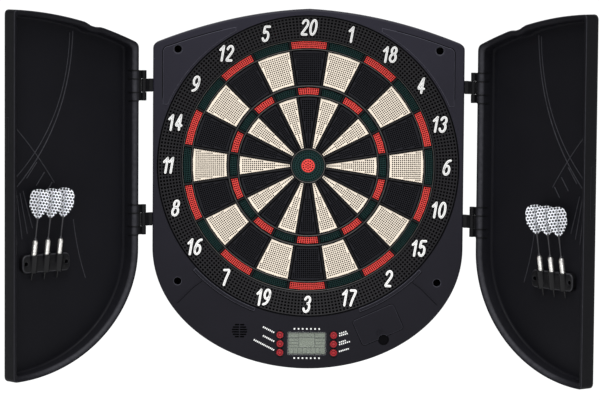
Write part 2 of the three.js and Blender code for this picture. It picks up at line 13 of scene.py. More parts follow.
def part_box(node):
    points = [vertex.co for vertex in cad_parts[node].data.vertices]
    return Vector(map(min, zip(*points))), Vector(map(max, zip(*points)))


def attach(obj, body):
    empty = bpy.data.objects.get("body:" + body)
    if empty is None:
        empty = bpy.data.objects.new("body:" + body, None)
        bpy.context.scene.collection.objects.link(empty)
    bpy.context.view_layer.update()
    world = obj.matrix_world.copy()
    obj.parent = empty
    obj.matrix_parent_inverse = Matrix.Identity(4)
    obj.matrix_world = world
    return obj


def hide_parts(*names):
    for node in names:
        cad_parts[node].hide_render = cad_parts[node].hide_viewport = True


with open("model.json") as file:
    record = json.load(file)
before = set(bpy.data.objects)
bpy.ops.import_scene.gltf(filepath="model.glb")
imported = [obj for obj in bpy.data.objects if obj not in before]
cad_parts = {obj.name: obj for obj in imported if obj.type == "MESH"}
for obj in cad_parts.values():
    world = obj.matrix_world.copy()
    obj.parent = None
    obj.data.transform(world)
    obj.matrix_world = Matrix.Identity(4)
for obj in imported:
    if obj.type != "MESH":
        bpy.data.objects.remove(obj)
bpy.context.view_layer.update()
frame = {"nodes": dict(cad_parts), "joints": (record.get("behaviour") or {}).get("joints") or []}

# ---- driving dimensions, in millimetres
MM = 0.001


def box(node):
    """The lowest and highest corner of a CAD node, in millimetres."""
    return [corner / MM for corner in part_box(node)]


def middle(node):
    """The (x, z) of a CAD node's middle."""
    low, high = box(node)
    return (low.x + high.x) / 2, (low.z + high.z) / 2


def slab(node):
    """A CAD node's width and height, and the depths of its front and back."""
    low, high = box(node)
    return (high.x - low.x, high.z - low.z), low.y, high.y


HALF_WIDTH = box("front_frame")[1].x
CASE_FRONT = box("front_frame")[0].y
CASE_WALL = 2.5
TOP_PEAK, TOP_SLOPE, TOP_RADIUS = 246.3, 0.0472, 680
BELLY_Z = -129
BELLY_DROP = BELLY_Z - box("front_frame")[0].z

SECTORS = 20
SECTOR = 2 * pi / SECTORS
NUMBERS = (20, 1, 18, 4, 13, 6, 10, 15, 2, 17, 3, 19, 7, 16, 8, 11, 14, 9, 12, 5)
CELLS = {
    "inner_single": (27.6, 109.3),
    "treble": (111.7, 124.2),
    "outer_single": (127.6, 182.8),
    "double": (184.4, 197.4),
}
HALF_WEB = 1.3
WEB_INNER, WEB_OUTER = 25.2, 199
RUNNING_GAP = 0.6
TARGET_FRONT = box("treble_segments")[0].y
TARGET_BACK = box("treble_segments")[1].y
SPIDER_FRONT = box("spider")[0].y
SPIDER_BACK = box("spider")[1].y
BULL_RADIUS, BULL_BORE = 10.5, 11
BULL_FRONT = box("inner_bull")[0].y
OUTER_BULL_RADIUS = 24.6
HOLE_PITCH, HOLE_RADIUS, HOLE_DEPTH = 3.1, 1.2, 5.5
HOLE_CLEAR = HOLE_RADIUS + 1.05
ROW_STEP = 2.75
BULL_PITCH = 3.7

CATCH_OUTER = box("catch_ring")[1].x
CATCH_INNER = 199.8
CATCH_LOW, CATCH_HIGH = -30.5, box("catch_ring")[0].y
COLLAR_RADIUS = 236.5

WALL_SCREWS = ((-205, 183), (205, 183), (-204, -182), (204, -182))
PANEL_Z = middle("lcd_window")[1]
BATTERY_AT = Vector((112, 0, -249))
BATTERY_TILT = radians(24)
BATTERY_COVER = (70, 43)
NOTCH_AT, NOTCH_RADIUS = (-1.4, -25), 8
SPEAKER_AT = middle("speaker")

DOOR_RIM = -45
DOOR_SKIN = -73
DOOR_PANEL = -70.6
FREE_EDGE = 1.6
HINGE_HEIGHTS = {"upper": 126, "lower": -84.5}
HINGE_LENGTH, BRACKET_LENGTH = 47.4, 20.3
HINGE_LINE = 258
KNUCKLE_RADIUS, PIN_RADIUS, PIN_BORE = 4.2, 1.5, 1.75

HOLDER = (92, 28)
HOLDER_AT = {"left": (-77, -143), "right": (88.5, -163)}
DART_PITCH, DART_OFFSET = 24.6, 6.7
DART_LEAN = radians(9)

SIDES = {"left": -1, "right": 1}
BUTTONS = [f"button_{side}_{row}" for side in SIDES for row in ("top", "middle", "bottom")]


# ---- outlines, as lists of (x, z)
def polar(radius, turn):
    """A point at a turn from +Z towards +X."""
    return radius * sin(turn), radius * cos(turn)


def circle(radius, at=(0, 0), sides=48):
    turns = np.arange(sides) * 2 * pi / sides
    return [(at[0] + radius * sin(t), at[1] + radius * cos(t)) for t in turns]


def arc(at, radii, start, end, steps):
    """Points on a circle or an ellipse, by angles in degrees turned from +X towards +Z."""
    across, up = np.broadcast_to(radii, 2)
    turns = np.radians(np.linspace(start, end, steps + 1))
    return [(at[0] + across * cos(t), at[1] + up * sin(t)) for t in turns]


def mirrored(points, side):
    return [(side * x, z) for x, z in points]


def rectangle(size, radius, at=(0, 0), steps=4):
    x, z = size[0] / 2 - radius, size[1] / 2 - radius
    corners = ((x, z, 0), (-x, z, 90), (-x, -z, 180), (x, -z, 270))
    return [
        point
        for cx, cz, turn in corners
        for point in arc((at[0] + cx, at[1] + cz), radius, turn, turn + 90, steps)
    ]


def offset(outline, distance):
    """The outline moved outwards by a distance, with its corners kept."""
    if not distance:
        return list(outline)
    points = np.array(outline, float)
    after = np.roll(points, -1, 0)
    along = after - points
    along /= np.maximum(np.linalg.norm(along, axis=1), 1e-9)[:, None]
    area = np.sum(points[:, 0] * after[:, 1] - after[:, 0] * points[:, 1])
    normal = np.stack([along[:, 1], -along[:, 0]], 1) * np.sign(area)
    before = np.roll(normal, 1, 0)
    share = np.maximum(1 + np.sum(normal * before, 1), 0.3)
    moved = points + (normal + before) / share[:, None] * distance
    return [tuple(p) for p in moved]


def top(x):
    return TOP_PEAK - TOP_SLOPE * x - x * x / (2 * TOP_RADIUS)


def half_outline(near, corner, grow, side_grow, notch=0, tip=0):
    """One half of the case or a door, from the top round to the bottom.
    Doors have a shallow notch on top, and round tips at their free edge."""
    side = HALF_WIDTH + side_grow
    edge = side - corner
    shoulder = top(side) + grow

    def roof(x):
        dip = min(max((15 - abs(x - 156)) / 8, 0), 1)
        return top(x) + grow - notch * dip

    points = [(x, roof(x)) for x in np.linspace(near + tip, edge, 38)]
    points += [
        (
            (1 - t) ** 2 * edge + 2 * t * (1 - t) * side + t * t * side,
            (1 - t) ** 2 * roof(edge) + 2 * t * (1 - t) * shoulder + t * t * (shoulder - corner),
        )
        for t in np.linspace(0, 1, 7)[1:]
    ]
    last = acos((near + tip) / side)
    drop = BELLY_DROP + grow
    points += [(side * cos(t), BELLY_Z - drop * sin(t)) for t in np.linspace(0, last, 44)]
    if tip:
        points += arc((near + tip, points[-1][1] + tip), tip, 270, 180, 4)[1:]
        points += arc((near + tip, points[0][1] - tip), tip, 180, 90, 4)[:-1]
    return points


def case_outline(grow=0):
    half = half_outline(0, 7, grow, grow)
    return half + mirrored(half[-2:0:-1], -1)


def door_outline(side, inset, hinge_inset=None):
    hinge_inset = inset if hinge_inset is None else hinge_inset
    half = half_outline(FREE_EDGE + inset, 8, 2 - inset, 2 - hinge_inset, notch=3, tip=6)
    return mirrored(half, side)


def cell_outline(inner, outer, half_gap, coarse=False):
    """One cell of the target, centred on +Z, with more or fewer points along its arcs."""
    points = []
    for radius, sign in ((inner, 1), (outer, -1)):
        reach = SECTOR / 2 - asin(half_gap / radius)
        count = max(2, round(radius * reach / 9) + 1) if coarse else max(3, int(radius / 8))
        points += [polar(radius, turn) for turn in np.linspace(-reach, reach, count)[::sign]]
    return points


# ---- meshes
def rounded(radius, face, sign, steps=4):
    """Offset, depth and edge share of a rounded edge, from the wall to a face at that depth. The edge
    share paints wear and a highlight along the rounding.
    Its sign is -1 at the outside of a plate and 1 round a hole."""
    return [
        (sign * radius * (1 - cos(t)), face + radius * (1 - sin(t)), sin(2 * t))
        for t in np.linspace(0, pi / 2, steps + 1)
    ]


SHARP_FROM = 32  # an edge that turns by more degrees than this is a crease


class Shape:
    """Points and faces in millimetres. The outlines lie in X and Z, and Y is the depth."""

    def __init__(self):
        # Each point carries a share of edge wear and painted highlight.
        self.points, self.edges, self.faces, self.finishes = [], [], [], []

    def loop(self, points, edge=0.0):
        first = len(self.points)
        self.points += points
        self.edges += [edge] * len(points)
        return list(range(first, len(self.points)))

    def ring(self, outline, depth, edge=0.0):
        at = depth if callable(depth) else lambda x, z: depth
        return self.loop([(x, at(x, z), z) for x, z in outline], edge)

    def face(self, corners, finish):
        self.faces.append(tuple(corners))
        self.finishes.append(finish)

    def strip(self, a, b, finish=0):
        for i, (c, d) in enumerate(zip(a[1:] + a[:1], b[1:] + b[:1])):
            self.face((a[i], c, d, b[i]), finish)

    def join(self, rings, finish=0, hollow=False):
        """Walls between rings, with flat ends or closed on themselves."""
        for a, b in zip(rings, rings[1:] + rings[:hollow]):
            self.strip(a, b, finish)
        for end in () if hollow else (rings[0], rings[-1]):
            self.face(end, finish)
        return self

    def sweep(self, outline, steps, finish=0):
        """Joins rings of one outline, each at an offset and a depth, and returns them all."""
        rings = [self.ring(offset(outline, step[0]), step[1], *step[2:3]) for step in steps]
        for a, b in zip(rings, rings[1:]):
            self.strip(a, b, finish)
        return rings

    def fill(self, rings, finish=0):
        """Triangles inside the first ring and outside the others."""
        index, flat, outlines = [], [], []
        for ring in rings:
            spots = [(self.points[i][0], self.points[i][2]) for i in ring]
            following = spots[1:] + spots[:1]
            area = sum(a[0] * b[1] - b[0] * a[1] for a, b in zip(spots, following))
            order = range(len(ring)) if area > 0 else range(len(ring) - 1, -1, -1)
            outlines.append(list(range(len(flat), len(flat) + len(ring))))
            flat += [Vector(spots[k]) for k in order]
            index += [ring[k] for k in order]
        made = delaunay_2d_cdt(flat, [], outlines, 1, 1e-7)
        for corners, inside in zip(made[2], made[5]):
            if inside == [0]:
                self.face([index[made[3][c][0]] for c in corners], finish)

    def cap(self, walls, finish=0, holes=()):
        """Fills the front and the back of a sweep, round the sweeps of its holes."""
        for end in (-1, 0):
            self.fill([walls[end]] + [hole[end] for hole in holes], finish)
        return self

    def add(self, other, matrix=None):
        start = len(self.points)
        points = other.points
        if matrix is not None:
            points = [tuple(matrix @ Vector(p)) for p in points]
        self.points += points
        self.edges += other.edges
        self.faces += [tuple(start + i for i in corners) for corners in other.faces]
        self.finishes += other.finishes
        return self

    def moved(self, matrix):
        return Shape().add(self, matrix)


def placed(at, angle, axis="Y"):
    """Turns a shape about an axis, then takes it to a point."""
    return Matrix.Translation(at) @ Matrix.Rotation(angle, 4, axis)


def plate(outline, back, front, radius=0.5, steps=3, holes=(), finish=0):
    """A closed plate with its front edge rounded. Each hole is an outline that goes through."""
    shape = Shape()
    walls = shape.sweep(outline, [(0, back), *rounded(radius, front, -1, steps)], finish)
    bore = [(0, back), *rounded(min(radius, 0.5), front, 1, 2)]
    inner = [shape.sweep(hole, bore, finish) for hole in holes]
    return shape.cap(walls, finish, inner)


def lathe(profile, sides, at=(0, 0), hollow=False, finish=0):
    """A profile of (radius, y) turned about a line along Y, with flat ends or closed on itself."""
    shape = Shape()
    rings = [shape.ring(circle(max(r, 0.01), at, sides), y) for r, y in profile]
    return shape.join(rings, finish, hollow)


def stroke(path, width, low, high, closed=False, lift=lambda x, z: 0, finish=0):
    """A raised line with round ends along a path. Heights are measured from the lifted surface."""
    shape = Shape()
    points = np.array(path, float)
    ahead, behind = np.roll(points, -1, 0), np.roll(points, 1, 0)
    if not closed:
        ahead[-1], behind[0] = points[-1], points[0]
    along = ahead - behind
    along /= np.linalg.norm(along, axis=1)[:, None]
    half = width / 2
    stations = [(p, t, 1.0) for p, t in zip(points, along)]
    if not closed:
        caps = [(sin(a), cos(a)) for a in np.radians((30, 55, 75))]
        stations = (
            [(points[0] - along[0] * half * s, along[0], c) for s, c in caps[::-1]]
            + stations
            + [(points[-1] + along[-1] * half * s, along[-1], c) for s, c in caps]
        )
    bend = min(0.35 * (high - low), half)
    flank = [(half, low), (half, high - bend)]
    flank += [(half - 0.3 * bend, high - 0.3 * bend), (half - bend, high)]
    section = [(-across, height) for across, height in flank] + flank[::-1]
    rings = []
    for (x, z), (along_x, along_z), share in stations:
        spots = [(x + along_z * u * share, z - along_x * u * share) for u, _ in section]
        heights = [height for _, height in section]
        rings.append(shape.loop([(u, lift(u, v) - h, v) for (u, v), h in zip(spots, heights)]))
    return shape.join(rings, finish, closed)


def thing(name, data):
    """A new object in the scene."""
    made = bpy.data.objects.new(name, data)
    bpy.context.scene.collection.objects.link(made)
    return made


def piece(name, shape, materials, node=None, body="cabinet", weighted=False):
    """Makes the shape one Blender object that rides on a body, in place of a named CAD node."""
    mesh = bpy.data.meshes.new(name)
    mesh.from_pydata((np.array(shape.points) * MM).tolist(), [], shape.faces)
    for material in materials:
        mesh.materials.append(material)
    mesh.polygons.foreach_set("material_index", shape.finishes)
    mesh.polygons.foreach_set("use_smooth", [True] * len(mesh.polygons))
    # The edge attribute carries edge wear and painted highlight to the materials.
    edge = mesh.attributes.new("edge", "FLOAT", "POINT")
    edge.data.foreach_set("value", shape.edges)
    work = bmesh.new()
    work.from_mesh(mesh)
    bmesh.ops.recalc_face_normals(work, faces=work.faces)
    work.to_mesh(mesh)
    work.free()
    mesh.set_sharp_from_angle(angle=radians(SHARP_FROM))
    part = thing(name, mesh)
    if weighted:
        part.modifiers.new("flat_faces", "WEIGHTED_NORMAL").keep_sharp = True
    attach(part, body)
    if node:
        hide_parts(node)
    return part


# ---- materials
def tone(red, green, blue):
    """A colour given as it looks on a screen, as the linear values that Blender takes."""
    scaled = [v / 255 for v in (red, green, blue)]
    return [v / 12.92 if v <= 0.04045 else ((v + 0.055) / 1.055) ** 2.4 for v in scaled] + [1.0]


class Graph:
    """The node tree of one material."""

    def __init__(self, name):
        self.material = bpy.data.materials.new(name)
        self.material.use_nodes = True
        self.nodes = self.material.node_tree.nodes
        self.links = self.material.node_tree.links
        self.shader = self.nodes["Principled BSDF"]

    def add(self, kind, inputs, output=0, **settings):
        node = self.nodes.new("ShaderNode" + kind)
        for key, value in settings.items():
            setattr(node, key, value)
        for key, value in inputs.items():
            self.set(node.inputs[key], value)
        return node.outputs[output]

    def set(self, socket, value):
        if isinstance(value, bpy.types.NodeSocket):
            self.links.new(value, socket)
        else:
            socket.default_value = value

    def place(self):
        return self.add("TexCoord", {}, "Object")

    def noise(self, scale, detail=3.0):
        return self.add("TexNoise", {"Vector": self.place(), "Scale": scale, "Detail": detail})

    def math(self, operation, a, b=0.0):
        return self.add("Math", {0: a, 1: b}, operation=operation)

    def spread(self, value, low=0.0, high=1.0, start=0.3, end=0.7):
        return self.add("MapRange", {0: value, 1: start, 2: end, 3: low, 4: high})

    def blend(self, share, a, b, way="MIX"):
        return self.add("Mix", {0: share, 6: a, 7: b}, 2, data_type="RGBA", blend_type=way)

    def finish(self, colour, roughness, height=None, strength=0.5, depth=0.0, **values):
        """Sets what the surface shows: its colour, its gloss, its bumps and any plain values."""
        self.set(self.shader.inputs["Base Color"], colour)
        self.set(self.shader.inputs["Roughness"], roughness)
        if height is not None:
            bump = self.add("Bump", {"Strength": strength, "Distance": depth, "Height": height})
            self.set(self.shader.inputs["Normal"], bump)
        for name, value in values.items():
            self.shader.inputs[name.replace("_", " ")].default_value = value
        return self.material


def shade(colour, share):
    return [min(v * share, 1.0) for v in colour[:3]] + [1.0]


def moulded(
    name, look, roughness, specular, grain=0.00006, scale=1300, edge=None, dust=0.10, painted_top_light=0.0
):
    """Moulded plastic: uneven in tone and gloss, finely grained, and a little paler on worn edges, where
    a painted highlight also lies.
    It can be darker at the foot and lighter at the top, as painted light."""
    graph, colour = Graph(name), tone(*look)
    broad, mottle = graph.noise(11.0), graph.noise(160.0, 4.0)
    base = graph.blend(graph.spread(broad), shade(colour, 1 - dust), shade(colour, 1 + dust))
    base = graph.blend(graph.spread(mottle, 0.0, 0.25), base, shade(colour, 1 + 2 * dust))
    # Painted light: darker towards the foot and lighter towards the top.
    if painted_top_light:
        height = graph.add("SeparateXYZ", {0: graph.place()}, 2)
        share = graph.spread(height, 1 - painted_top_light, 1 + painted_top_light, -0.3, 0.24)
        grey = graph.add("CombineXYZ", {0: share, 1: share, 2: share})
        base = graph.blend(1.0, base, grey, "MULTIPLY")
    # Worn rims and painted highlights both turn paler, by the edge attribute.
    if edge:
        rim_wear_and_highlight = graph.add("Attribute", {}, "Fac", attribute_name="edge")
        patchy_wear_and_highlight = graph.math("MULTIPLY", rim_wear_and_highlight, graph.spread(mottle, 0.6, 1.0))
        base = graph.blend(patchy_wear_and_highlight, base, tone(*edge))
    gloss = graph.spread(mottle, roughness - 0.06, roughness + 0.08)
    return graph.finish(base, gloss, graph.noise(scale, 2.0), 0.5, grain, Specular_IOR_Level=specular)


def metal(name, look, roughness):
    """Machined metal, with fine turning lines round its own length and small scuffs."""
    graph, colour = Graph(name), tone(*look)
    scuffs = graph.noise(420.0, 5.0)
    base = graph.blend(graph.spread(scuffs), shade(colour, 0.86), shade(colour, 1.05))
    gloss = graph.spread(scuffs, roughness - 0.06, roughness + 0.12)
    return graph.finish(base, gloss, graph.noise(2600.0, 2.0), 0.35, 0.00003, Metallic=1.0)


def dotted_film(name, ground, dot, pitch, radius):
    """Flight film: a plain sheet printed with staggered rows of dots."""
    graph, ground, dot = Graph(name), tone(*ground), tone(*dot)
    flat = graph.add("UVMap", {}, "UV", uv_map="flat")
    parts = graph.add("SeparateXYZ", {0: flat}).node.outputs
    across, along = [graph.math("DIVIDE", parts[i], pitch) for i in (0, 1)]
    stagger = graph.math("MULTIPLY", graph.math("MODULO", graph.math("FLOOR", along), 2.0), 0.5)
    across = graph.math("ADD", across, stagger)
    u, v = [graph.math("SUBTRACT", graph.math("FRACT", value), 0.5) for value in (across, along)]
    away = graph.math("ADD", graph.math("MULTIPLY", u, u), graph.math("MULTIPLY", v, v))
    inside = graph.spread(graph.math("SQRT", away), 1.0, 0.0, radius * 0.95, radius * 1.05)
    creases = graph.noise(90.0, 4.0)
    sheet = graph.blend(graph.spread(creases), shade(ground, 0.93), ground)
    printed = graph.blend(inside, sheet, dot)
    return graph.finish(printed, graph.spread(creases, 0.28, 0.42), creases, 0.25, 0.0001)


def clear_pane(name):
    """A thin clear pane, with faint scratches in its gloss."""
    graph = Graph(name)
    scratches = graph.noise(300.0, 6.0)
    tint = graph.blend(graph.spread(scratches), tone(205, 214, 205), tone(222, 228, 220))
    return graph.finish(tint, graph.spread(scratches, 0.05, 0.16), Alpha=0.07)


# The case is painted darker at the foot and lighter at the top, as light falls on it.
CASE = moulded("case_plastic", (30, 29, 37), 0.46, 0.12, edge=(88, 88, 98), painted_top_light=0.45)
DOOR = moulded("door_plastic", (20, 20, 24), 0.5, 0.06, 0.00004, 1500, (66, 66, 71))
# A darker copy of the door plastic for the outside of the doors and the free-edge strip, as painted
# shade.
SHADED_DOOR_SKIN = moulded("door_skin_shaded", (14, 14, 17), 0.5, 0.08, 0.00004, 1500, (66, 66, 71))
RING = moulded("ring_plastic", (24, 23, 26), 0.5, 0.2, edge=(80, 80, 84))
# A grey line along the top of each numeral stroke, as painted shade.
NUMERAL_SHADE_LINE = moulded("numeral_shade_line", (186, 187, 190), 0.35, 0.5, dust=0.04)
# Painted shadow: dark lines in the seams, the speaker slot walls, the gap round the battery cover, the
# collars round the buttons and the holder's screw heads.
PAINTED_SHADOW = moulded("seam_shadow", (5, 5, 7), 0.7, 0.05)
# Painted shade for the holes of the catch ring and the recesses of the wall screws.
RING_HOLE_SHADE = moulded("ring_hole_shade", (3, 3, 4), 0.7, 0.05)
# Pale crests on the spider: a painted highlight.
CREST_HIGHLIGHT = moulded("spider_crest_highlight", (84, 84, 82), 0.38, 0.4)
WEB = moulded("spider_web", (20, 19, 22), 0.55, 0.2)
NUMERAL = moulded("numeral_white", (250, 249, 246), 0.4, 0.35, dust=0.02)
HALO = moulded("numeral_base", (14, 14, 16), 0.6, 0.15)
SEGMENTS = {
    "cream": moulded("segment_cream", (242, 229, 211), 0.42, 0.4, dust=0.03),
    "black": moulded("segment_black", (24, 24, 29), 0.48, 0.12),
    "red": moulded("segment_red", (226, 68, 62), 0.4, 0.3, dust=0.05),
    "green": moulded("segment_green", (15, 43, 42), 0.42, 0.15),
}
# Dark tones painted on the walls and floors of the holes, as shade.
HOLE_SHADE_TONES = {"cream": (26, 20, 17), "black": (3, 3, 4), "red": (18, 3, 4), "green": (2, 5, 5)}
HOLE_SHADES = {key: moulded(f"painted_shade_in_hole_{key}", rgb, 0.7, 0.05) for key, rgb in HOLE_SHADE_TONES.items()}
PRINT = moulded("printed_white", (240, 240, 238), 0.5, 0.3, dust=0.03)
SCREEN = moulded("lcd_face", (104, 112, 99), 0.32, 0.4, 0.00001, dust=0.04)
SCREEN_LINE = moulded("lcd_line", (42, 48, 42), 0.4, 0.3, 0.00001)
PANE = clear_pane("clear_pane")
BUTTON = moulded("button_red", (160, 26, 36), 0.34, 0.35, dust=0.06)
BLACK = moulded("black_plastic", (15, 15, 17), 0.42, 0.14, edge=(60, 60, 64))
TUBE = moulded("holder_tube", (17, 17, 19), 0.34, 0.2)
RUBBER = moulded("rubber_foam", (26, 26, 28), 0.9, 0.2, 0.0004, 700)
FILM = moulded("membrane_film", (176, 156, 92), 0.35, 0.4)
LAMINATE = moulded("circuit_laminate", (30, 92, 52), 0.45, 0.4)
CONE = moulded("speaker_cone", (24, 24, 26), 0.8, 0.2, 0.0002, 900)
STEEL = metal("pin_steel", (176, 178, 182), 0.3)
BARREL = metal("barrel_metal", (244, 242, 238), 0.42)
TIP = moulded("dart_tip", (14, 14, 16), 0.4, 0.4)
SHAFT = moulded("dart_shaft", (38, 38, 42), 0.35, 0.5)
FLIGHT = dotted_film("flight_film", (247, 249, 255), (8, 10, 22), 4.7, 0.37)


# ---- case
BATTERY_PLACE = placed(BATTERY_AT, -BATTERY_TILT)


def battery_point(x, z):
    at = BATTERY_PLACE @ Vector((x, 0, z))
    return at.x, at.z


def notched(grow, bite):
    """The battery cover's outline with the finger notch at its lower edge.
    The notch bites into the cover, and the recess runs out round it."""
    size = [length + 2 * grow for length in BATTERY_COVER]
    low = -size[1] / 2
    tilt = asin((low - NOTCH_AT[1]) / NOTCH_RADIUS)
    reach = NOTCH_RADIUS * cos(tilt)
    start, end, steps = (180, 0, 12) if bite else (180, 360, 14)
    notch = arc(NOTCH_AT, NOTCH_RADIUS, start - degrees(tilt), end + degrees(tilt), steps)
    kept = []
    for x, z in rectangle(size, 5 + grow):
        away = abs(x - NOTCH_AT[0]) if bite else NOTCH_AT[0] - x
        if z > low + 1e-6 or away > reach:
            kept.append((x, z))
    split = max(i for i, point in enumerate(kept) if point[0] < 0) + 1
    return kept[:split] + notch + kept[split:]


def battery_recess():
    return [battery_point(*point) for point in notched(0, False)]


def speaker_slots():
    """Six rows of slots, split by an upright bar."""
    pitch, height, half_bar, reach = 3.8, 1.9, 0.8, 12
    for row in (-2.5, -1.5, -0.5, 0.5, 1.5, 2.5):
        lift = row * pitch
        length = sqrt(reach**2 - lift**2) - half_bar
        for side in (-1, 1):
            x = SPEAKER_AT[0] + side * (half_bar + length / 2)
            yield rectangle((length, height), 0.9, (x, SPEAKER_AT[1] + lift), 3)


def front_frame():
    shape = Shape()
    face, inside = CASE_FRONT, CASE_FRONT + CASE_WALL
    outer = shape.sweep(case_outline(), [(0, 0)] + [step[:2] for step in rounded(3, face, -1)])
    inner = shape.sweep(case_outline(), [(-CASE_WALL, 0), (-CASE_WALL, inside)])
    shape.strip(outer[0], inner[0])
    collar = [(0, -24), (CASE_WALL, -24), (CASE_WALL, inside)]
    openings = [(circle(COLLAR_RADIUS, sides=144), 1.2, collar)]
    well = [(0, -8), (-3.4, -8), (-3.4, 0), (2.5, 0), (2.5, inside)]
    openings += [(circle(6, at, 32), 0.8, well) for at in WALL_SCREWS]
    wide, tall = slab("lcd_window")[0]
    window = rectangle((wide + 0.6, tall + 0.6), 2.4, (0, PANEL_Z))
    openings.append((window, 0.4, [(0, face + 1.5), (-2.2, face + 1.5), (-2.2, inside)]))
    openings += [(circle(6, middle(name), 32), 0.5, [(0, inside)]) for name in BUTTONS]
    # The walls of the speaker slots take the second finish, painted shadow.
    first_slot = len(openings)
    openings += [(slot, 0.3, [(0, inside)]) for slot in speaker_slots()]
    front_rings, back_rings = [outer[-1]], [inner[-1]]
    for i, (outline, radius, steps) in enumerate(openings):
        rings = shape.sweep(outline, rounded(radius, face, 1)[::-1] + steps, int(i >= first_slot))
        front_rings.append(rings[0])
        back_rings.append(rings[-1])
    recess = shape.sweep(battery_recess(), rounded(0.4, face, 1, 2)[::-1] + [(0, face + 1.5)])
    opening = [battery_point(*p) for p in rectangle((60, 33), 2)]
    hatch = shape.sweep(opening, [(0, face + 1.5), (0, inside)])
    # The recess floor round the hatch takes the second finish, painted shadow.
    shape.fill([recess[-1], hatch[0]], 1)
    shape.fill(front_rings + [recess[0]])
    shape.fill(back_rings + [hatch[-1]])
    for side in (-1, 1):
        shape.add(corner_pad(side)).add(ring_lip(side)).add(fascia_step(side))
    shape.add(seam(circle(COLLAR_RADIUS + 0.5, sides=144), 1.3, True))
    shape.add(seam(offset(battery_recess(), 0.4), 1.1, True))
    return shape


def seam(path, width=0.9, closed=False):
    """The thin dark line of a joint between two mouldings, painted as the shadow in its gap."""
    return stroke(path, width, -0.4, 0.06, closed, lift=lambda x, z: CASE_FRONT, finish=1)


def corner_pad(side):
    """The raised field round an upper wall screw, which runs out towards the ring."""
    margin, drop, bend = 15.7, 13, 9
    x = HALF_WIDTH - margin
    radius = COLLAR_RADIUS + 4
    near, low = 114, 96
    roof = [(u, top(u) - drop) for u in np.linspace(near, x - bend, 20)]
    turn = arc((x - bend, roof[-1][1] - bend), bend, 90, 0, 6)[1:]
    start = degrees(atan2(low, sqrt(radius**2 - low**2)))
    end = degrees(acos(near / radius))
    inner = arc((0, 0), radius, start, end, 30)
    outline = mirrored(roof + turn + [(x, low)] + inner, side)
    screw = [at for at in WALL_SCREWS if at[0] * side > 0 and at[1] > 0][0]
    pad = plate(outline, CASE_FRONT + 0.6, CASE_FRONT - 0.9, 0.8, holes=[circle(7.4, screw, 32)])
    border = [(u + 0.5, v + 0.5) for u, v in roof[4:] + turn + [(x, low + 10)]]
    return pad.add(seam(mirrored(border, side), 1.5))


def ring_lip(side):
    """The raised band that hugs the ring beside the control panel."""
    inner, outer, start, end = COLLAR_RADIUS + 1.4, COLLAR_RADIUS + 7, 290, 317.5
    band = arc((0, 0), outer, start, end, 24) + arc((0, 0), inner, end, start, 24)
    lip = plate(mirrored(band, side), CASE_FRONT + 0.6, CASE_FRONT - 1.3, 0.9)
    edge = arc((0, 0), outer + 0.7, start, end, 24)
    return lip.add(seam(mirrored(edge, side), 1.1))


def fascia_step(side):
    """The low step that parts the control panel from the side of the case."""
    path = arc((163, -187), 7, 110, 45, 5) + [(180, -191), (192, -203), (205, -216)]
    step = stroke(mirrored(path, side), 1.6, -0.4, 0.7, lift=lambda x, z: CASE_FRONT)
    return step.add(seam(mirrored([(x - 1.2, z - 0.8) for x, z in path], side)))


def back_cover():
    """The back plate with its wells, stiffening channels and vents."""
    shape = Shape()
    outer = shape.sweep(case_outline(-2.8), [(0, -2.5), (0, -0.6), (-0.6, 0)])
    well = [(0, -2.5), (0, -0.5), (0.5, 0)]
    wells = [shape.sweep(circle(9, at, 32), well) for at in WALL_SCREWS]
    groove = [(3, 0), (2.2, -0.9), (-2.2, -0.9), (-3, 0)]
    channels = [shape.sweep(circle(radius, sides=96), groove) for radius in (70, 110, 150, 190)]
    places = [(x, -262 - 5 * row) for row in range(7) for x in (-60, 60)]
    slots = [rectangle((34, 2.4), 1.1, at, 3) for at in places]
    vents = [shape.sweep(slot, [(0, -2.5), (0, -0.3), (0.3, 0)]) for slot in slots]
    holes = wells + vents
    shape.fill([outer[-1], channels[-1][0]] + [hole[-1] for hole in holes])
    for big, small in zip(channels[::-1], channels[-2::-1]):
        shape.fill([big[-1], small[0]])
    shape.fill([channels[0][-1]])
    shape.fill([outer[0]] + [hole[0] for hole in holes])
    return shape


def cross(size, back, front, at, angle=0.0):
    """The recess of a cross-head screw, as two dark bars of painted shade."""
    shape = Shape()
    for quarter in (0, pi / 2):
        bar = plate(rectangle(size, 0.2), back, front, 0.05, finish=1)
        shape.add(bar, placed((at[0], 0, at[1]), angle + quarter))
    return shape


def cover_screws():
    """Cross-head screws round the edge of the back cover."""
    places = [(x, z) for x in (-228, 228) for z in (140, 40, -90)]
    places += [(-120, 222), (0, 232), (120, 222), (-150, -270), (0, -309), (150, -270)]
    shape = Shape()
    for x, z in places:
        shape.add(lathe([(0, -2.4), (3.4, -2.4), (3.4, -0.9), (2.6, -0.3), (0, -0.1)], 20, (x, z)))
        shape.add(cross((4, 0.7), -0.3, -0.02, (x, z), 0.4))
    return shape


def make_case():
    front, back = front_frame(), back_cover()
    piece("front_shell", front, [CASE, PAINTED_SHADOW], "front_frame", weighted=True)
    piece("back_plate", back, [CASE], "back_cover", weighted=True)
    piece("back_screws", cover_screws(), [STEEL, BLACK])
    screws = Shape()
    for at in WALL_SCREWS:
        head = [(0, -8.3), (4.6, -8.3), (4.6, -9), (3.2, -10.6), (0, -11)]
        screws.add(lathe(head, 24, at))
        screws.add(cross((5, 0.9), -10.2, -11.05, at))
    piece("wall_screw_heads", screws, [BLACK, RING_HOLE_SHADE])


# ---- catch ring and numbers
def cone(x, z):
    """The depth of the catch ring's face."""
    share = (hypot(x, z) - CATCH_INNER) / (CATCH_OUTER - CATCH_INNER)
    return CATCH_LOW + share * (CATCH_HIGH - CATCH_LOW)


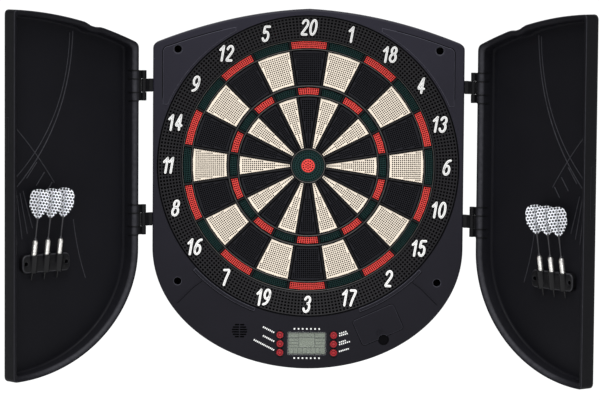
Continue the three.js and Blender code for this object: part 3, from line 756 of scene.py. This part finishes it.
def catch_ring():
    """A sloping ring with seven rows of square holes on a polar grid."""
    shape = Shape()
    columns, rows, border, depth = 13 * SECTORS, 7, 1.1, 3.2
    radii = np.linspace(CATCH_INNER + border, CATCH_OUTER - border, rows + 1)
    grid = [shape.ring(circle(r, sides=columns), cone) for r in radii]
    inner = [(0, SPIDER_BACK - 1), (0, CATCH_LOW + 0.6), (0.5, CATCH_LOW)]
    bottom = shape.sweep(circle(CATCH_INNER, sides=columns), inner)
    shape.strip(bottom[-1], grid[0])
    outer = [(-0.5, CATCH_HIGH), (0, CATCH_HIGH + 0.6), (0, SPIDER_BACK - 1)]
    rim = shape.sweep(circle(CATCH_OUTER, sides=columns), outer)
    shape.strip(grid[-1], rim[0])
    shape.strip(rim[-1], bottom[0])
    step = 2 * pi / columns
    for k in range(rows):
        low, high = radii[k], radii[k + 1]
        inset = 0.2 * (high - low)
        for j in range(columns):
            after = (j + 1) % columns
            corners = (grid[k][j], grid[k + 1][j], grid[k + 1][after], grid[k][after])
            turns = ((j + 0.2) * step, (j + 0.8) * step)
            ends = (low + inset, high - inset)
            spots = [polar(r, turns[0]) for r in ends] + [polar(r, turns[1]) for r in ends[::-1]]
            lip = shape.ring(spots, cone)
            floor = shape.ring(spots, lambda x, z: cone(x, z) + depth)
            shape.strip(corners, lip)
            # The walls and floor of each hole take the second finish, painted shade.
            shape.strip(lip, floor, 1)
            shape.face(floor, 1)
    return shape


DIGITS = {
    "0": [arc((0.5, 0.5), 0.5, 0, 350, 34)],
    "1": [[(0.12, 0.74), (0.42, 0.86), (0.66, 1)], [(0.66, 1), (0.66, 0.5), (0.66, 0)]],
    "2": [
        arc((0.5, 0.74), (0.48, 0.26), 170, -30, 14) + [(0.55, 0.35), (0.02, 0), (0.5, 0), (1, 0)]
    ],
    "3": [
        arc((0.48, 0.77), (0.46, 0.23), 165, -80, 16),
        arc((0.48, 0.28), (0.5, 0.28), 80, -165, 18),
    ],
    "4": [
        [(0.72, 1), (0.36, 0.64), (0, 0.28), (0.5, 0.28), (1.05, 0.28)],
        [(0.72, 1), (0.72, 0.5), (0.72, 0)],
    ],
    "5": [
        [(0.95, 1), (0.5, 1), (0.14, 1), (0.1, 0.8), (0.06, 0.56)]
        + arc((0.48, 0.32), (0.48, 0.32), 128, -155, 20)
    ],
    "6": [
        arc((0.5, 0.3), (0.48, 0.3), 0, 350, 28),
        [(0.94, 0.97), (0.5, 0.92), (0.2, 0.72), (0.05, 0.48), (0.02, 0.3)],
    ],
    "7": [[(0, 1), (0.5, 1), (1, 1), (0.72, 0.62), (0.5, 0.3), (0.38, 0)]],
    "8": [
        arc((0.5, 0.77), (0.41, 0.23), 0, 345, 24),
        arc((0.5, 0.27), (0.5, 0.27), 0, 350, 28),
    ],
    "9": [
        arc((0.5, 0.7), (0.48, 0.3), 0, 350, 28),
        [(0.98, 0.7), (0.95, 0.5), (0.8, 0.26), (0.5, 0.08), (0.06, 0.03)],
    ],
}
CLOSED_BELOW = 0.2  # a path whose ends are nearer than this closes on itself


def smooth(path, rounds=2):
    """Cuts the corners of an open path."""
    points = [np.array(p, float) for p in path]
    for _ in range(rounds):
        cut = [points[0]]
        for a, b in zip(points, points[1:]):
            cut += [a * 0.75 + b * 0.25, a * 0.25 + b * 0.75]
        points = cut + [points[-1]]
    return points


def numeral(number, angle, width, low, high):
    """A slanted number that stands upright on the catch ring."""
    tall, wide, thick, slant, radius = 22.8, 8.6, 3.6, 0.17, 218.2
    text = str(number)
    advance = {digit: (8.2 if digit == "1" else 13.4) for digit in text}
    total = sum(advance.values()) if len(set(text)) == len(text) else advance[text[0]] * len(text)
    x, z = polar(radius, angle)
    x -= total / 2
    shape = Shape()
    for digit in text:
        start = x + (advance[digit] - wide) / 2 - (0.16 * wide if digit == "1" else 0)
        for path in DIGITS[digit]:
            closed = hypot(path[0][0] - path[-1][0], path[0][1] - path[-1][1]) < CLOSED_BELOW
            drawn = [(start + u * wide, (v - 0.5) * tall) for u, v in (path if closed else smooth(path))]
            spots = [(u + slant * up, z + up) for u, up in drawn]
            shape.add(stroke(spots, thick + width, low, high, closed, cone))
        x += advance[digit]
    return shape


def make_ring():
    piece("catch_ring_grid", catch_ring(), [RING, RING_HOLE_SHADE], "catch_ring")
    for i, number in enumerate(NUMBERS):
        halo = numeral(number, i * SECTOR, 2.6, -0.4, 0.7)
        piece(f"number_base_{number}", halo, [HALO])
        digits = numeral(number, i * SECTOR, 0, 0.2, 1.8)
        # A narrow grey stroke on top of each numeral paints the shade along its middle.
        ridge = numeral(number, i * SECTOR, -2.7, 1.6, 2.1)
        ridge.finishes = [1] * len(ridge.finishes)
        piece(f"number_{number}", digits.add(ridge), [NUMERAL, NUMERAL_SHADE_LINE])


# ---- target
def spider():
    """Thin crests on a dark web: five circles and twenty spokes. The circles' crests are painted pale,
    as a highlight.
    """
    shape = Shape()
    web = TARGET_FRONT + 0.1
    lows, highs = zip(*CELLS.values())
    bands = list(zip((WEB_INNER, *highs), (*lows, WEB_OUTER)))

    def section(low, high):
        crest = min(0.34, (high - low) / 2 - 0.2)
        mid = (low + high) / 2
        flank = [(high - mid, SPIDER_BACK), (high - mid, web), (crest + 0.1, web - 0.3)]
        flank += [(crest, SPIDER_FRONT + 0.2), (crest - 0.2, SPIDER_FRONT)]
        return [(mid - u, y) for u, y in flank] + [(mid + u, y) for u, y in flank[::-1]]

    # The crest faces of the circles take the pale finish, a painted highlight.
    finishes = (0, 0, 1, 1, 1, 1, 1, 0, 0, 0)
    for low, high in bands:
        profile = section(low, high)
        rings = [shape.ring(circle(r, sides=160), y) for r, y in profile]
        for a, b, finish in zip(rings, rings[1:] + rings[:1], finishes):
            shape.strip(a, b, finish)
    spoke = Shape()
    ends = []
    for z in (bands[0][1] - 0.6, bands[-1][0] + 0.6):
        ends.append(spoke.loop([(x, y + 0.05, z) for x, y in section(-HALF_WEB, HALF_WEB)]))
    spoke.join(ends)
    spoke.finishes[: len(finishes)] = [finish * 2 for finish in finishes]
    for i in range(SECTORS):
        shape.add(spoke, Matrix.Rotation((i + 0.5) * SECTOR, 4, "Y"))
    return shape


def drilled(shape, ring, spots):
    """Fills a face with blind holes at the given spots."""
    lips = []
    front = shape.points[ring[0][0]][1]
    for spot in spots:
        lip = shape.ring(circle(HOLE_RADIUS, spot, 8), front)
        floor = shape.ring(circle(HOLE_RADIUS * 0.8, spot, 8), front + HOLE_DEPTH)
        # The walls and floor of each hole take the second finish, painted shade.
        shape.strip(lip, floor, 1)
        shape.face(floor, 1)
        lips.append(lip)
    shape.fill(ring + lips)


def square_spots(inner, outer, half_gap):
    """Holes on a square grid that keep clear of the cell's edges."""
    rows = int((outer - inner * cos(SECTOR / 2)) / HOLE_PITCH) + 1
    for row in range(rows):
        z = outer - HOLE_CLEAR - row * HOLE_PITCH
        for column in range(-12, 13):
            x = column * HOLE_PITCH
            radius = hypot(x, z)
            beside = radius * sin(SECTOR / 2 - abs(atan2(x, z))) - half_gap
            if inner + HOLE_CLEAR < radius < outer - HOLE_CLEAR and beside > HOLE_CLEAR:
                yield x, z


def curved_spots(inner, outer, half_gap):
    """Three rows of holes that follow the ring, between its bitten edges."""
    mid = (inner + outer) / 2
    for radius in (mid - ROW_STEP, mid, mid + ROW_STEP):
        reach = SECTOR / 2 - (half_gap + HOLE_CLEAR) / radius
        count = int(2 * reach * mid / HOLE_PITCH)
        for turn in np.linspace(-reach, reach, count + 1):
            yield polar(radius, turn)


def nibbled(corners):
    """An outline whose edges are bitten by half holes, one hole pitch apart."""
    points = np.array(corners, float)
    centre, margin, depth = points.mean(0), 1.0, 0.65
    result = []
    for a, b in zip(points, np.roll(points, -1, 0)):
        length = np.linalg.norm(b - a)
        count = max(1, round((length - 2 * margin) / HOLE_PITCH))
        along = (b - a) / length
        inward = np.array([-along[1], along[0]])
        inward *= np.sign(np.dot(inward, centre - (a + b) / 2))
        result.append(tuple(a))
        for k in range(count):
            at = a + along * (margin + (length - 2 * margin) * (k + 0.5) / count)
            for turn in np.radians((180, 135, 90, 45, 0)):
                spot = at + along * cos(turn) * depth + inward * sin(turn) * depth
                result.append(tuple(spot))
    return result


def segment(kind):
    """A segment: a plain block on a flange, under a perforated cap with bitten edges."""
    inner, outer = CELLS[kind]
    inner, outer = inner + RUNNING_GAP, outer - RUNNING_GAP
    gap = HALF_WEB + RUNNING_GAP
    shape = Shape()
    low = TARGET_FRONT + HOLE_DEPTH
    flange = [(1.1, TARGET_BACK), (1.1, SPIDER_BACK + 0.3), (0, SPIDER_BACK + 0.3), (0, low)]
    # The block and flange under the cap take the second finish, painted shade for the gaps round the
    # cap.
    walls = shape.sweep(cell_outline(inner, outer, gap), flange, 1)
    shape.cap(walls, 1)
    inner, outer, gap = inner + 0.6, outer - 0.6, gap + 0.7
    outline = nibbled(cell_outline(inner, outer, gap, coarse=True))
    cap = shape.sweep(outline, [(0, low + 0.3), (0, TARGET_FRONT + 0.3), (-0.25, TARGET_FRONT)])
    shape.fill([cap[0]])
    spots = square_spots if "single" in kind else curved_spots
    drilled(shape, [cap[-1]], spots(inner, outer, gap))
    return shape


def make_target():
    piece("spider_web", spider(), [WEB, CREST_HIGHLIGHT, RING], "spider")
    for kind in CELLS:
        shape = segment(kind)
        for i, number in enumerate(NUMBERS):
            colour = ("black", "cream")[i % 2] if "single" in kind else ("red", "green")[i % 2]
            turned, node = shape.moved(placed((0, 0, 0), i * SECTOR)), f"{kind}_segments"
            finishes = [SEGMENTS[colour], HOLE_SHADES[colour]]
            piece(f"{kind}_{number}", turned, finishes, node, node)
    edge = rounded(0.45, TARGET_FRONT, -1, 2)
    bull("outer", "green", OUTER_BULL_RADIUS, 2.4, SPIDER_BACK + 0.3, edge)
    bull("inner", "red", BULL_RADIUS, 1.8, SPIDER_BACK - 1, rounded(0.6, BULL_FRONT, -1, 3))


def bull(word, colour, radius, flange, step, edge):
    """A bull on its flange, drilled in circles. The outer one is bored for the inner one."""
    shape = Shape()
    outline = circle(radius, sides=72 if word == "outer" else 48)
    walls = shape.sweep(outline, [(flange, TARGET_BACK), (flange, step), (0, step)] + edge)
    backs, fronts = [walls[0]], [walls[-1]]
    if word == "outer":
        pocket = [(2.4, TARGET_BACK), (2.4, SPIDER_BACK - 2), (0, SPIDER_BACK - 2)]
        hole = shape.sweep(circle(BULL_BORE), pocket + rounded(0.3, TARGET_FRONT, 1, 2))
        backs.append(hole[0])
        fronts.append(hole[-1])
        spots = []
        for ring in (13.9, 17.8, 21.7):
            spots += circle(ring, sides=round(2 * pi * ring / BULL_PITCH))
    else:
        spots = [(0, 0)] + circle(BULL_PITCH, sides=6) + circle(7.6, sides=13)
    shape.fill(backs)
    drilled(shape, fronts, spots)
    finishes, node = [SEGMENTS[colour], HOLE_SHADES[colour]], f"{word}_bull"
    piece(f"{node}_cap", shape, finishes, node, node)


# ---- control panel
def marks():
    """Plain marks: rows of squares by the display, and dashes beside the buttons."""
    shape = Shape()
    skin = (CASE_FRONT + 0.1, CASE_FRONT - 0.12, 0.05, 1)
    for z in (PANEL_Z + 23.2, PANEL_Z - 23.2):
        for i in range(-3, 4):
            shape.add(plate(rectangle((2.5, 2.5), 0.5, (i * 6.5, z), 2), *skin))

    dash, gap = 1.9, 0.9

    def dashes(start, length, tilt, height):
        count = int(length / (dash + gap))
        for i in range(count):
            along = length * (i + 0.5) / count
            at = (start[0] + along * cos(tilt), 0, start[1] + along * sin(tilt))
            mark = plate(rectangle((dash, height), 0.45, steps=2), *skin)
            shape.add(mark, placed(at, -tilt))

    for row, length in (("top", 21), ("middle", 21), ("bottom", 37)):
        x, z = middle(f"button_left_{row}")
        dashes((x - 8.6, z + 3.4), length, pi - radians(27), 2.7)
    rows = (("top", (13, 15), 2.6), ("middle", (12, 19), 2.6), ("bottom", (17,), 2))
    for row, lengths, lift in rows:
        x, z = middle(f"button_right_{row}")
        for i, length in enumerate(lengths):
            dashes((x + 8.2, z + lift - 3.6 * i), length, radians(17), 2.3)
    return shape


def screen_lines():
    """The thin boxes of the display."""
    low, high = box("lcd_window")
    x, top_z, low_z = high.x - 2.4, high.z - 2.4, low.z + 2.4
    y = box("lcd_module")[0].y - 0.25
    shape = Shape()
    inner_top, inner_low = top_z - 6.5, low_z + 9
    lines = [((-x, inner_top), (x, inner_top)), ((-x, inner_low), (x, inner_low))]
    lines += [((s * 12.5, inner_low), (s * 12.5, inner_top)) for s in (-1, 1)]
    lines += [((s * x, z), (s * 12.5, z)) for s in (-1, 1) for z in (PANEL_Z + 3, PANEL_Z + 8)]
    lines += [((s * x, PANEL_Z - 2.2), (s * 12.5, PANEL_Z - 2.2)) for s in (-1, 1)]
    lines += [((u, low_z), (u, inner_low)) for u in np.linspace(-x, x, 9)[1:-1]]
    lines += [((u, inner_top), (u, top_z)) for u in (-12.5, 12.5)]
    for a, b in lines:
        shape.add(stroke([a, b], 0.8, -0.05, 0.3, lift=lambda u, v: y))
    return shape


def make_panel():
    piece("panel_marks", marks(), [PRINT])
    # Dark collars round the buttons paint the shade of their recesses.
    button_shade = Shape()
    for name in BUTTONS:
        collar = [(6.5, 0.2), (7.5, 0.2), (7.3, -0.25), (6.6, -0.3)]
        button_shade.add(lathe([(r, CASE_FRONT + y) for r, y in collar], 36, middle(name), hollow=True))
    piece("button_surrounds", button_shade, [PAINTED_SHADOW])
    at = (0, PANEL_Z)
    (wide, tall), front, back = slab("lcd_module")
    module = plate(rectangle((wide, tall), 1, at), back, front, 0.2, finish=1)
    module.add(plate(rectangle((wide - 2, tall - 2), 0.6, at), front + 0.5, front - 0.2, 0.05))
    piece("lcd_face", module, [SCREEN, BLACK], "lcd_module")
    piece("lcd_lines", screen_lines(), [SCREEN_LINE])
    size, front, back = slab("lcd_window")
    pane = plate(rectangle(size, 2.2, at), back, front, 0.25)
    piece("lcd_pane", pane, [PANE], "lcd_window")
    for name in BUTTONS:
        spot, radius, (_, front, back) = middle(name), 5.4, slab(name)
        dish = [(r, front + 0.55 * (1 - (r / 4.1) ** 2) + 0.12) for r in (0.4, 1.4, 2.4, 3.4)]
        profile = dish + [(4.1, front), (4.7, front), (5.2, front + 0.35), (radius, front + 0.9)]
        flange = radius + 1.1
        profile += [(radius, -41.1), (flange, -41.1), (flange, -39.8), (2.5, -39.6), (2.5, back)]
        cap = lathe(profile, 32, spot)
        # Two sunk rings on each cap take the second finish, painted shade.
        for round_about, lift in ((2.9, 0.1), (4.9, 0.25)):
            ring = circle(round_about, spot, 28)
            cap.add(stroke(ring, 0.6, -0.4, 0.06, True, lambda x, z: front + lift, 1))
        piece(f"{name}_cap", cap, [BUTTON, HOLE_SHADES["red"]], name, name)
    _, front, back = slab("speaker")
    cone_profile = [(0, front + 3.4), (3, front + 2.6), (5, front + 4.2), (11.2, front + 0.9)]
    cone_profile += [(12, front + 0.3), (13.2, front + 0.9), (14.4, front), (14.5, front + 3)]
    cone_profile += [(9, front + 8), (9, back), (0, back)]
    unit = lathe(cone_profile, 40, SPEAKER_AT)
    piece("speaker_unit", unit, [CONE], "speaker")
    node = "battery_cover"
    piece("battery_lid", battery_cover(), [CASE], node, node, weighted=True)


def battery_cover():
    """The cover: a rounded plate with a bite for the finger and three short grip ribs."""
    _, front, back = slab("battery_cover")
    lid = plate(notched(-0.3, True), back, front, 0.5)
    for i in range(3):
        span = 33 - 6 * i
        path = arc(NOTCH_AT, NOTCH_RADIUS + 3.4 + 2.6 * i, 90 + span, 90 - span, 10)
        lid.add(stroke(path, 1.1, -0.3, 0.5, lift=lambda x, z: front))
    return lid.moved(BATTERY_PLACE)


# ---- doors and hinges
HINGES = {j["name"].split("_")[0]: j for j in frame["joints"] if j["name"].endswith("door_hinge")}


def swing(word):
    """Takes a shape drawn on the shut door to where the door stands open."""
    joint = HINGES[word]
    at = Vector(joint["pos_m"]) / MM
    angle = -radians(joint["range_deg"][0]) * joint["axis"][2]
    return placed(at, angle, "Z") @ Matrix.Translation(-at)


def door(side):
    """One moulded door, drawn shut: a shallow tray whose open side faces the target."""
    shape = Shape()
    turn, quarter = 6, np.radians((0, 22, 45, 67, 90))
    outer = [(turn * (1 - sin(t)), DOOR_SKIN + turn * (1 - cos(t)), 0) for t in quarter]
    # The rim's rounded corner takes a painted highlight.
    outer += [(0, DOOR_RIM - 1.2, 0), (0.35, DOOR_RIM - 0.35, 0.7), (1, DOOR_RIM, 0.2)]
    rings = [shape.ring(door_outline(side, inset), depth, edge) for inset, depth, edge in outer]
    lip, fillet = 7, 4
    # The rounded lip carries a painted highlight along its crest.
    inner = [
        (lip * sin(t), DOOR_RIM - lip * (1 - cos(t)), 0.8 * sin(2 * t))
        for t in np.radians((4, 18, 36, 54, 72, 88))
    ]
    inner += [
        (lip + fillet * (1 - cos(t)), DOOR_PANEL + fillet * (1 - sin(t)), 0) for t in quarter
    ]
    for inset, depth, edge in inner:
        ring = shape.ring(door_outline(side, inset + 1.6, inset + 2.4), depth, edge)
        # The lip's painted highlight is thinned near the top and near the free edge.
        for i in ring:
            x, _, z = shape.points[i]
            below_roof, away = (200 - z) / 15, abs(x) / 60 - 0.3
            shape.edges[i] *= np.clip(below_roof, 0.15, 1) * np.clip(away, 0.15, 1)
        rings.append(ring)
    # The outer faces take the second finish, the darker copy painted as shade.
    for i, (a, b) in enumerate(zip(rings, rings[1:])):
        shape.strip(a, b, int(i < len(outer) - 2))
    shape.fill([rings[0]], 1)
    shape.fill([rings[-1]])
    return shape


def door_relief(side):
    """Plain raised lines inside a door: two long arcs, a slanting line, short ribs and a fan.
    They are placed by their distance from the hinge line."""

    def bow(a, b, sag, steps=24):
        a, b = Vector(a), Vector(b)
        normal = Vector((-(b - a).y, (b - a).x)).normalized()
        turns = np.linspace(0, 1, steps + 1)
        return [tuple(a.lerp(b, t) + normal * sag * 4 * t * (1 - t)) for t in turns]

    lines = [
        (bow((124, 212), (239, -30), -29), 1.8),
        (bow((130, 210), (242, -16), -29), 1.4),
        (bow((240, 72), (160, -20), -3, 8), 1.6),
        (bow((122, -80), (98, -172), 3, 12), 1.4),
    ]
    lines += [([(194 - 15 * i, 12 - 16 * i), (213 - 19 * i, -11 - 12 * i)], 1.6) for i in range(3)]
    lines += [([(238 - 6 * i, -40 + 3 * i), (232 - 10 * i, -112 + 8 * i)], 1.5) for i in range(4)]
    shape = Shape()
    for path, width in lines:
        points = smooth(path, 1) if len(path) == 2 else path
        ridge = stroke([(side * (HINGE_LINE - u), z) for u, z in points], width, -0.3, 0.9)
        # The crests of the lines carry a painted highlight.
        ridge.edges = [0.75] * len(ridge.edges)
        flip = Matrix.Translation((0, DOOR_PANEL, 0)) @ Matrix.Diagonal((1, -1, 1, 1))
        shape.add(ridge.moved(flip))
    return shape


def door_face(side):
    """A plain raised border on the outside of a door."""
    return stroke(door_outline(side, 22), 1.6, -0.3, 0.5, True, lift=lambda x, z: DOOR_SKIN)


def door_tab(side):
    """The low strip on the free edge that meets the other door."""
    low, high = ((30, 84), (-62, 18))[side > 0]
    outline = rectangle((8, high - low), 1.5, (DOOR_SKIN + 11, (low + high) / 2))
    strip = plate(outline, 0.6, -0.4, 0.3)
    turn = Matrix(((0, side, 0, side * FREE_EDGE), (1, 0, 0, 0), (0, 0, 1, 0), (0, 0, 0, 1)))
    return strip.moved(turn)


def hinge_part(points, low, high, side, at):
    """A flat hinge arm drawn from above about its pin, with its edges eased."""
    shape = Shape()
    outline = [(-side * u, v) for u, v in points]
    ease = 0.35
    flat = [(-ease, -high), (0, ease - high), (0, -low - ease), (-ease, -low)]
    rings = shape.sweep(outline, flat)
    shape.cap(rings)
    upright = Matrix(((1, 0, 0, at[0]), (0, 0, 1, at[1]), (0, -1, 0, at[2]), (0, 0, 0, 1)))
    return shape.moved(upright)


def tube(radius, bore, low, high, at):
    """An upright knuckle, or a pin when it has no bore."""
    ease = 0.4
    profile = [(radius - ease, -high), (radius, ease - high), (radius, -low - ease)]
    profile.append((radius - ease, -low))
    if bore:
        profile += [(bore, -low), (bore, -high)]
    shape = lathe(profile, 28, hollow=bool(bore))
    return shape.moved(placed(at, -pi / 2, "X"))


def make_hinges():
    for word, side in SIDES.items():
        x, y, _ = Vector(HINGES[word]["pos_m"]) / MM
        leaves = Shape()
        for level, z in HINGE_HEIGHTS.items():
            half = BRACKET_LENGTH / 2
            root = abs(x) - HALF_WIDTH - 0.3
            arm = [(3.4, -1), (8.5, 4.6), (root, 4.6), (root, 15), (10, 15), (-2.6, 2.4)]
            arm += [(0.3, 2.6), (2.4, 1.1)]
            bracket = hinge_part(arm, -half, half, side, (x, y, z))
            bracket.add(tube(KNUCKLE_RADIUS, PIN_BORE, -half, half, (x, y, z)))
            name = f"hinge_bracket_{word}_{level}"
            piece(f"{name}_part", bracket, [BLACK], name)
            reach = HINGE_LENGTH / 2 - 1
            pin, name = tube(PIN_RADIUS, 0, -reach, reach, (x, y, z)), f"hinge_pin_{word}_{level}"
            piece(f"{name}_part", pin, [STEEL], name)
            wall = abs(x) - HALF_WIDTH - 2
            turns = np.radians((0, 22, 45, 68, 90))
            lip = [(14.4 + 7.7 * sin(t), 7.7 * cos(t) - 4) for t in turns]
            strap = [(12.6, 1), (12.6, 3.5), *lip, (22, -12), (20.5, -12), (20.5, -4), (15, 1)]
            web = [(4.6, -0.9), (wall + 1, -1.5), (wall + 1, -5), (4.9, -4)]
            leaves.add(hinge_part(web, -half - 1, half + 1, side, (x, y, z)))
            for low, high in ((half + 0.4, HINGE_LENGTH / 2), (-HINGE_LENGTH / 2, -half - 0.4)):
                arm = [(2.2, -1.5), (wall + 2, -1.5), (wall + 2, -8), (4, -6), (1.2, -3)]
                leaves.add(hinge_part(arm, low, high, side, (x, y, z)))
                leaves.add(tube(KNUCKLE_RADIUS, PIN_BORE, low, high, (x, y, z)))
                for end in (low, high):
                    leaves.add(hinge_part(strap, end - 1, end + 1, side, (x, y, z)))
        leaves = leaves.moved(swing(word))
        piece(f"{word}_door_knuckles", leaves, [BLACK], body=f"{word}_door")


def make_doors():
    for word, side in SIDES.items():
        body, turn = f"{word}_door", swing(word)
        shell, strip = door(side).moved(turn), door_tab(side).moved(turn)
        relief = door_relief(side).add(door_face(side)).moved(turn)
        # The shell's outside and the strip take the darker copy of the door plastic, painted shade.
        piece(f"{body}_shell", shell, [DOOR, SHADED_DOOR_SKIN], body, body, weighted=True)
        piece(f"{body}_lines", relief, [DOOR], body=body)
        piece(f"{body}_strip", strip, [SHADED_DOOR_SKIN], body=body)


# ---- dart holders and darts
def rack(word):
    """The holder's own frame: X along it, Y out of the door's panel and Z up."""
    x, z = HOLDER_AT[word]
    return swing(word) @ Matrix.Translation((x, DOOR_PANEL, z))


def dart_line(x):
    """Stands a shape that was turned about Y along the leaning line of one dart."""
    return placed((x, DART_OFFSET, 0), -DART_LEAN, "X") @ Matrix.Rotation(pi / 2, 4, "X")


def dart_holder():
    """A base with three leaning sockets and a screw at each end."""
    half = HOLDER[1] / 2
    ends = [(side * (HOLDER[0] / 2 - 7), 0) for side in (-1, 1)]
    holes = [circle(3.4, at, 20) for at in ends]
    base = plate(rectangle(HOLDER, 9, steps=8), -0.3, -9, 2.2, 4, holes)
    shape = base.moved(Matrix.Rotation(pi, 4, "Z"))
    for x in (-DART_PITCH, 0, DART_PITCH):
        profile = [(4.4, half - 0.5), (5.2, half), (6.2, half), (6.8, half - 0.6)]
        profile += [(6.8, 0.6 - half), (6.2, -half), (2.8, -half), (2.4, 0.4 - half)]
        profile += [(2.4, -5), (4.4, -5)]
        shape.add(lathe(profile, 32, hollow=True, finish=1), dart_line(x))
    # The screw heads take the third finish, painted shadow for their recesses.
    for at in ends:
        head = [(0, 1.5), (3.2, 1.5), (3.2, 2.6), (2.6, 3.2), (0, 3.3)]
        shape.add(lathe(head, 20, at, finish=2))
    return shape


def ribbed(profile, start, end, pitch, depth):
    """Adds turned grooves to a profile of (radius, distance) between two distances."""
    grooves = []
    radius = [r for r, _ in profile][len(profile) // 2]
    for s in np.arange(start, end, pitch):
        steps = ((0, 0), (depth, 0.2), (depth, 0.6), (0, 0.8))
        grooves += [(radius - drop, s + share * pitch) for drop, share in steps]
    return [p for p in profile if p[1] < start] + grooves + [p for p in profile if p[1] >= end]


def flight():
    """Four thin vanes with a rounded outer edge."""
    half, thickness = 14.5, 0.5
    outline = [(0.1, 72), (2.4, 72), (6, 75.6), (9.4, 79.6)] + arc((half - 9, 92), 9, -45, 0, 5)
    outline += [(half, 99)] + arc((4, 104), (half - 4, 13), 10, 90, 8) + [(0.1, 117)]
    vane = plate(outline, thickness / 2, -thickness / 2, 0.12, 2)
    shape = Shape()
    for i in range(4):
        shape.add(vane, Matrix.Rotation(pi / 4 + i * pi / 2, 4, "Z"))
    return shape, [(p[0], p[2]) for p in vane.points] * 4


def make_darts():
    for word in SIDES:
        place = rack(word)
        name = f"{word}_dart_holder"
        finishes = [BLACK, TUBE, PAINTED_SHADOW]
        holder = dart_holder().moved(place)
        piece(f"{name}_part", holder, finishes, name, f"{word}_door")
        for i in range(3):
            dart = f"dart_{word}_{i + 1}"
            line = place @ dart_line((i - 1) * DART_PITCH)
            tip = [(0.25, -26), (0.6, -25.4), (0.8, -22), (1.4, -8), (1.9, -5)]
            barrel = [(2.6, -4.7), (3.4, -2), (4, 0.3), (4, 8), (4, 33), (3.7, 35), (2.6, 37)]
            barrel = ribbed(barrel, 8, 31, 2.3, 0.35)
            shaft = [(2.4, 37.3), (2.4, 39.2), (1.7, 40), (1.2, 42), (1.2, 55), (1.4, 66)]
            shaft.append((1.8, 71.7))
            shaft = ribbed(shaft, 44, 54, 2.5, 0.15)
            parts = (("tip", tip, TIP, "dart_tip"), ("barrel", barrel, BARREL, "barrel_metal"))
            for part, profile, material, slot in (*parts, ("shaft", shaft, SHAFT, "dart_shaft")):
                turned = lathe(profile, 24).moved(line)
                piece(f"{dart}_{part}_part", turned, [material], f"{dart}_{part}", dart)
            vanes, flat = flight()
            upright = place @ dart_line((i - 1) * DART_PITCH) @ Matrix.Rotation(-pi / 2, 4, "X")
            name, vanes = f"{dart}_flight", vanes.moved(upright)
            feather = piece(f"{name}_part", vanes, [FLIGHT], name, dart)
            sheet = feather.data.uv_layers.new(name="flat")
            for loop in feather.data.loops:
                sheet.data[loop.index].uv = flat[loop.vertex_index]


# ---- hidden parts that stay as they are
def finish_hidden():
    finishes = {"rubber_mat": RUBBER, "sensor_membrane": FILM, "circuit_board": LAMINATE}
    for name, material in {**finishes, "battery_box": BLACK}.items():
        materials = frame["nodes"][name].data.materials
        materials.clear()
        materials.append(material)


# ---- stage, in metres
FLOOR_REACH, FLOOR_LEVEL = 60, -0.62
BOARD_MIDDLE = Vector((0, 0, -0.05))


def make_stage():
    mesh = bpy.data.meshes.new("floor")
    signs = ((-1, -1), (1, -1), (1, 1), (-1, 1))
    corners = [(x * FLOOR_REACH, y * FLOOR_REACH, FLOOR_LEVEL) for x, y in signs]
    mesh.from_pydata(corners, [], [(0, 1, 2, 3)])
    graph = Graph("floor_paper")
    fibres = graph.noise(3.0)
    greys = [(grey, grey, grey, 1) for grey in (0.94, 0.96)]
    paper = graph.blend(graph.spread(fibres), *greys)
    mesh.materials.append(graph.finish(paper, 0.9, Specular_IOR_Level=0.1))
    thing("floor", mesh)

    world = bpy.data.worlds.new("studio")
    bpy.context.scene.world = world
    world.use_nodes = True
    background = world.node_tree.nodes["Background"]
    background.inputs["Color"].default_value = (0.98, 0.99, 1.0, 1)
    background.inputs["Strength"].default_value = 0.42

    sun = bpy.data.lights.new("ceiling", "SUN")
    sun.energy, sun.angle = 2.5, radians(30)
    thing("ceiling", sun).rotation_euler = (radians(24), 0, 0)

    softboxes = (("key", (-0.5, -3.0, 2.4), 1.0, 22), ("fill", (1.2, -3.6, 1.0), 1.8, 6))
    for name, at, size, power in softboxes:
        light = bpy.data.lights.new(name, "AREA")
        light.energy, light.size = power, size
        lamp = thing(name, light)
        lamp.location = at
        lamp.rotation_euler = (BOARD_MIDDLE - Vector(at)).to_track_quat("-Z", "Y").to_euler()
    bpy.context.scene.view_settings.view_transform = "Standard"


def make_camera():
    """A long lens, a little above the middle of the board and level with its front."""
    aim = Vector((-12.3, CASE_FRONT, -52.6)) * MM
    distance, elevation, roll = 5.418, radians(4.88), radians(0.44)
    data = bpy.data.cameras.new("camera")
    data.lens, data.sensor_width = 207, 36
    camera = thing("camera", data)
    camera.location = aim + Vector((0, -cos(elevation), sin(elevation))) * distance
    turn = Matrix.Rotation(pi / 2 - elevation, 4, "X") @ Matrix.Rotation(roll, 4, "Z")
    camera.rotation_euler = turn.to_euler()
    bpy.context.scene.camera = camera


make_camera()
make_case()
make_ring()
make_target()
make_panel()
make_hinges()
make_doors()
make_darts()
finish_hidden()
make_stage()

bpy.context.view_layer.update()
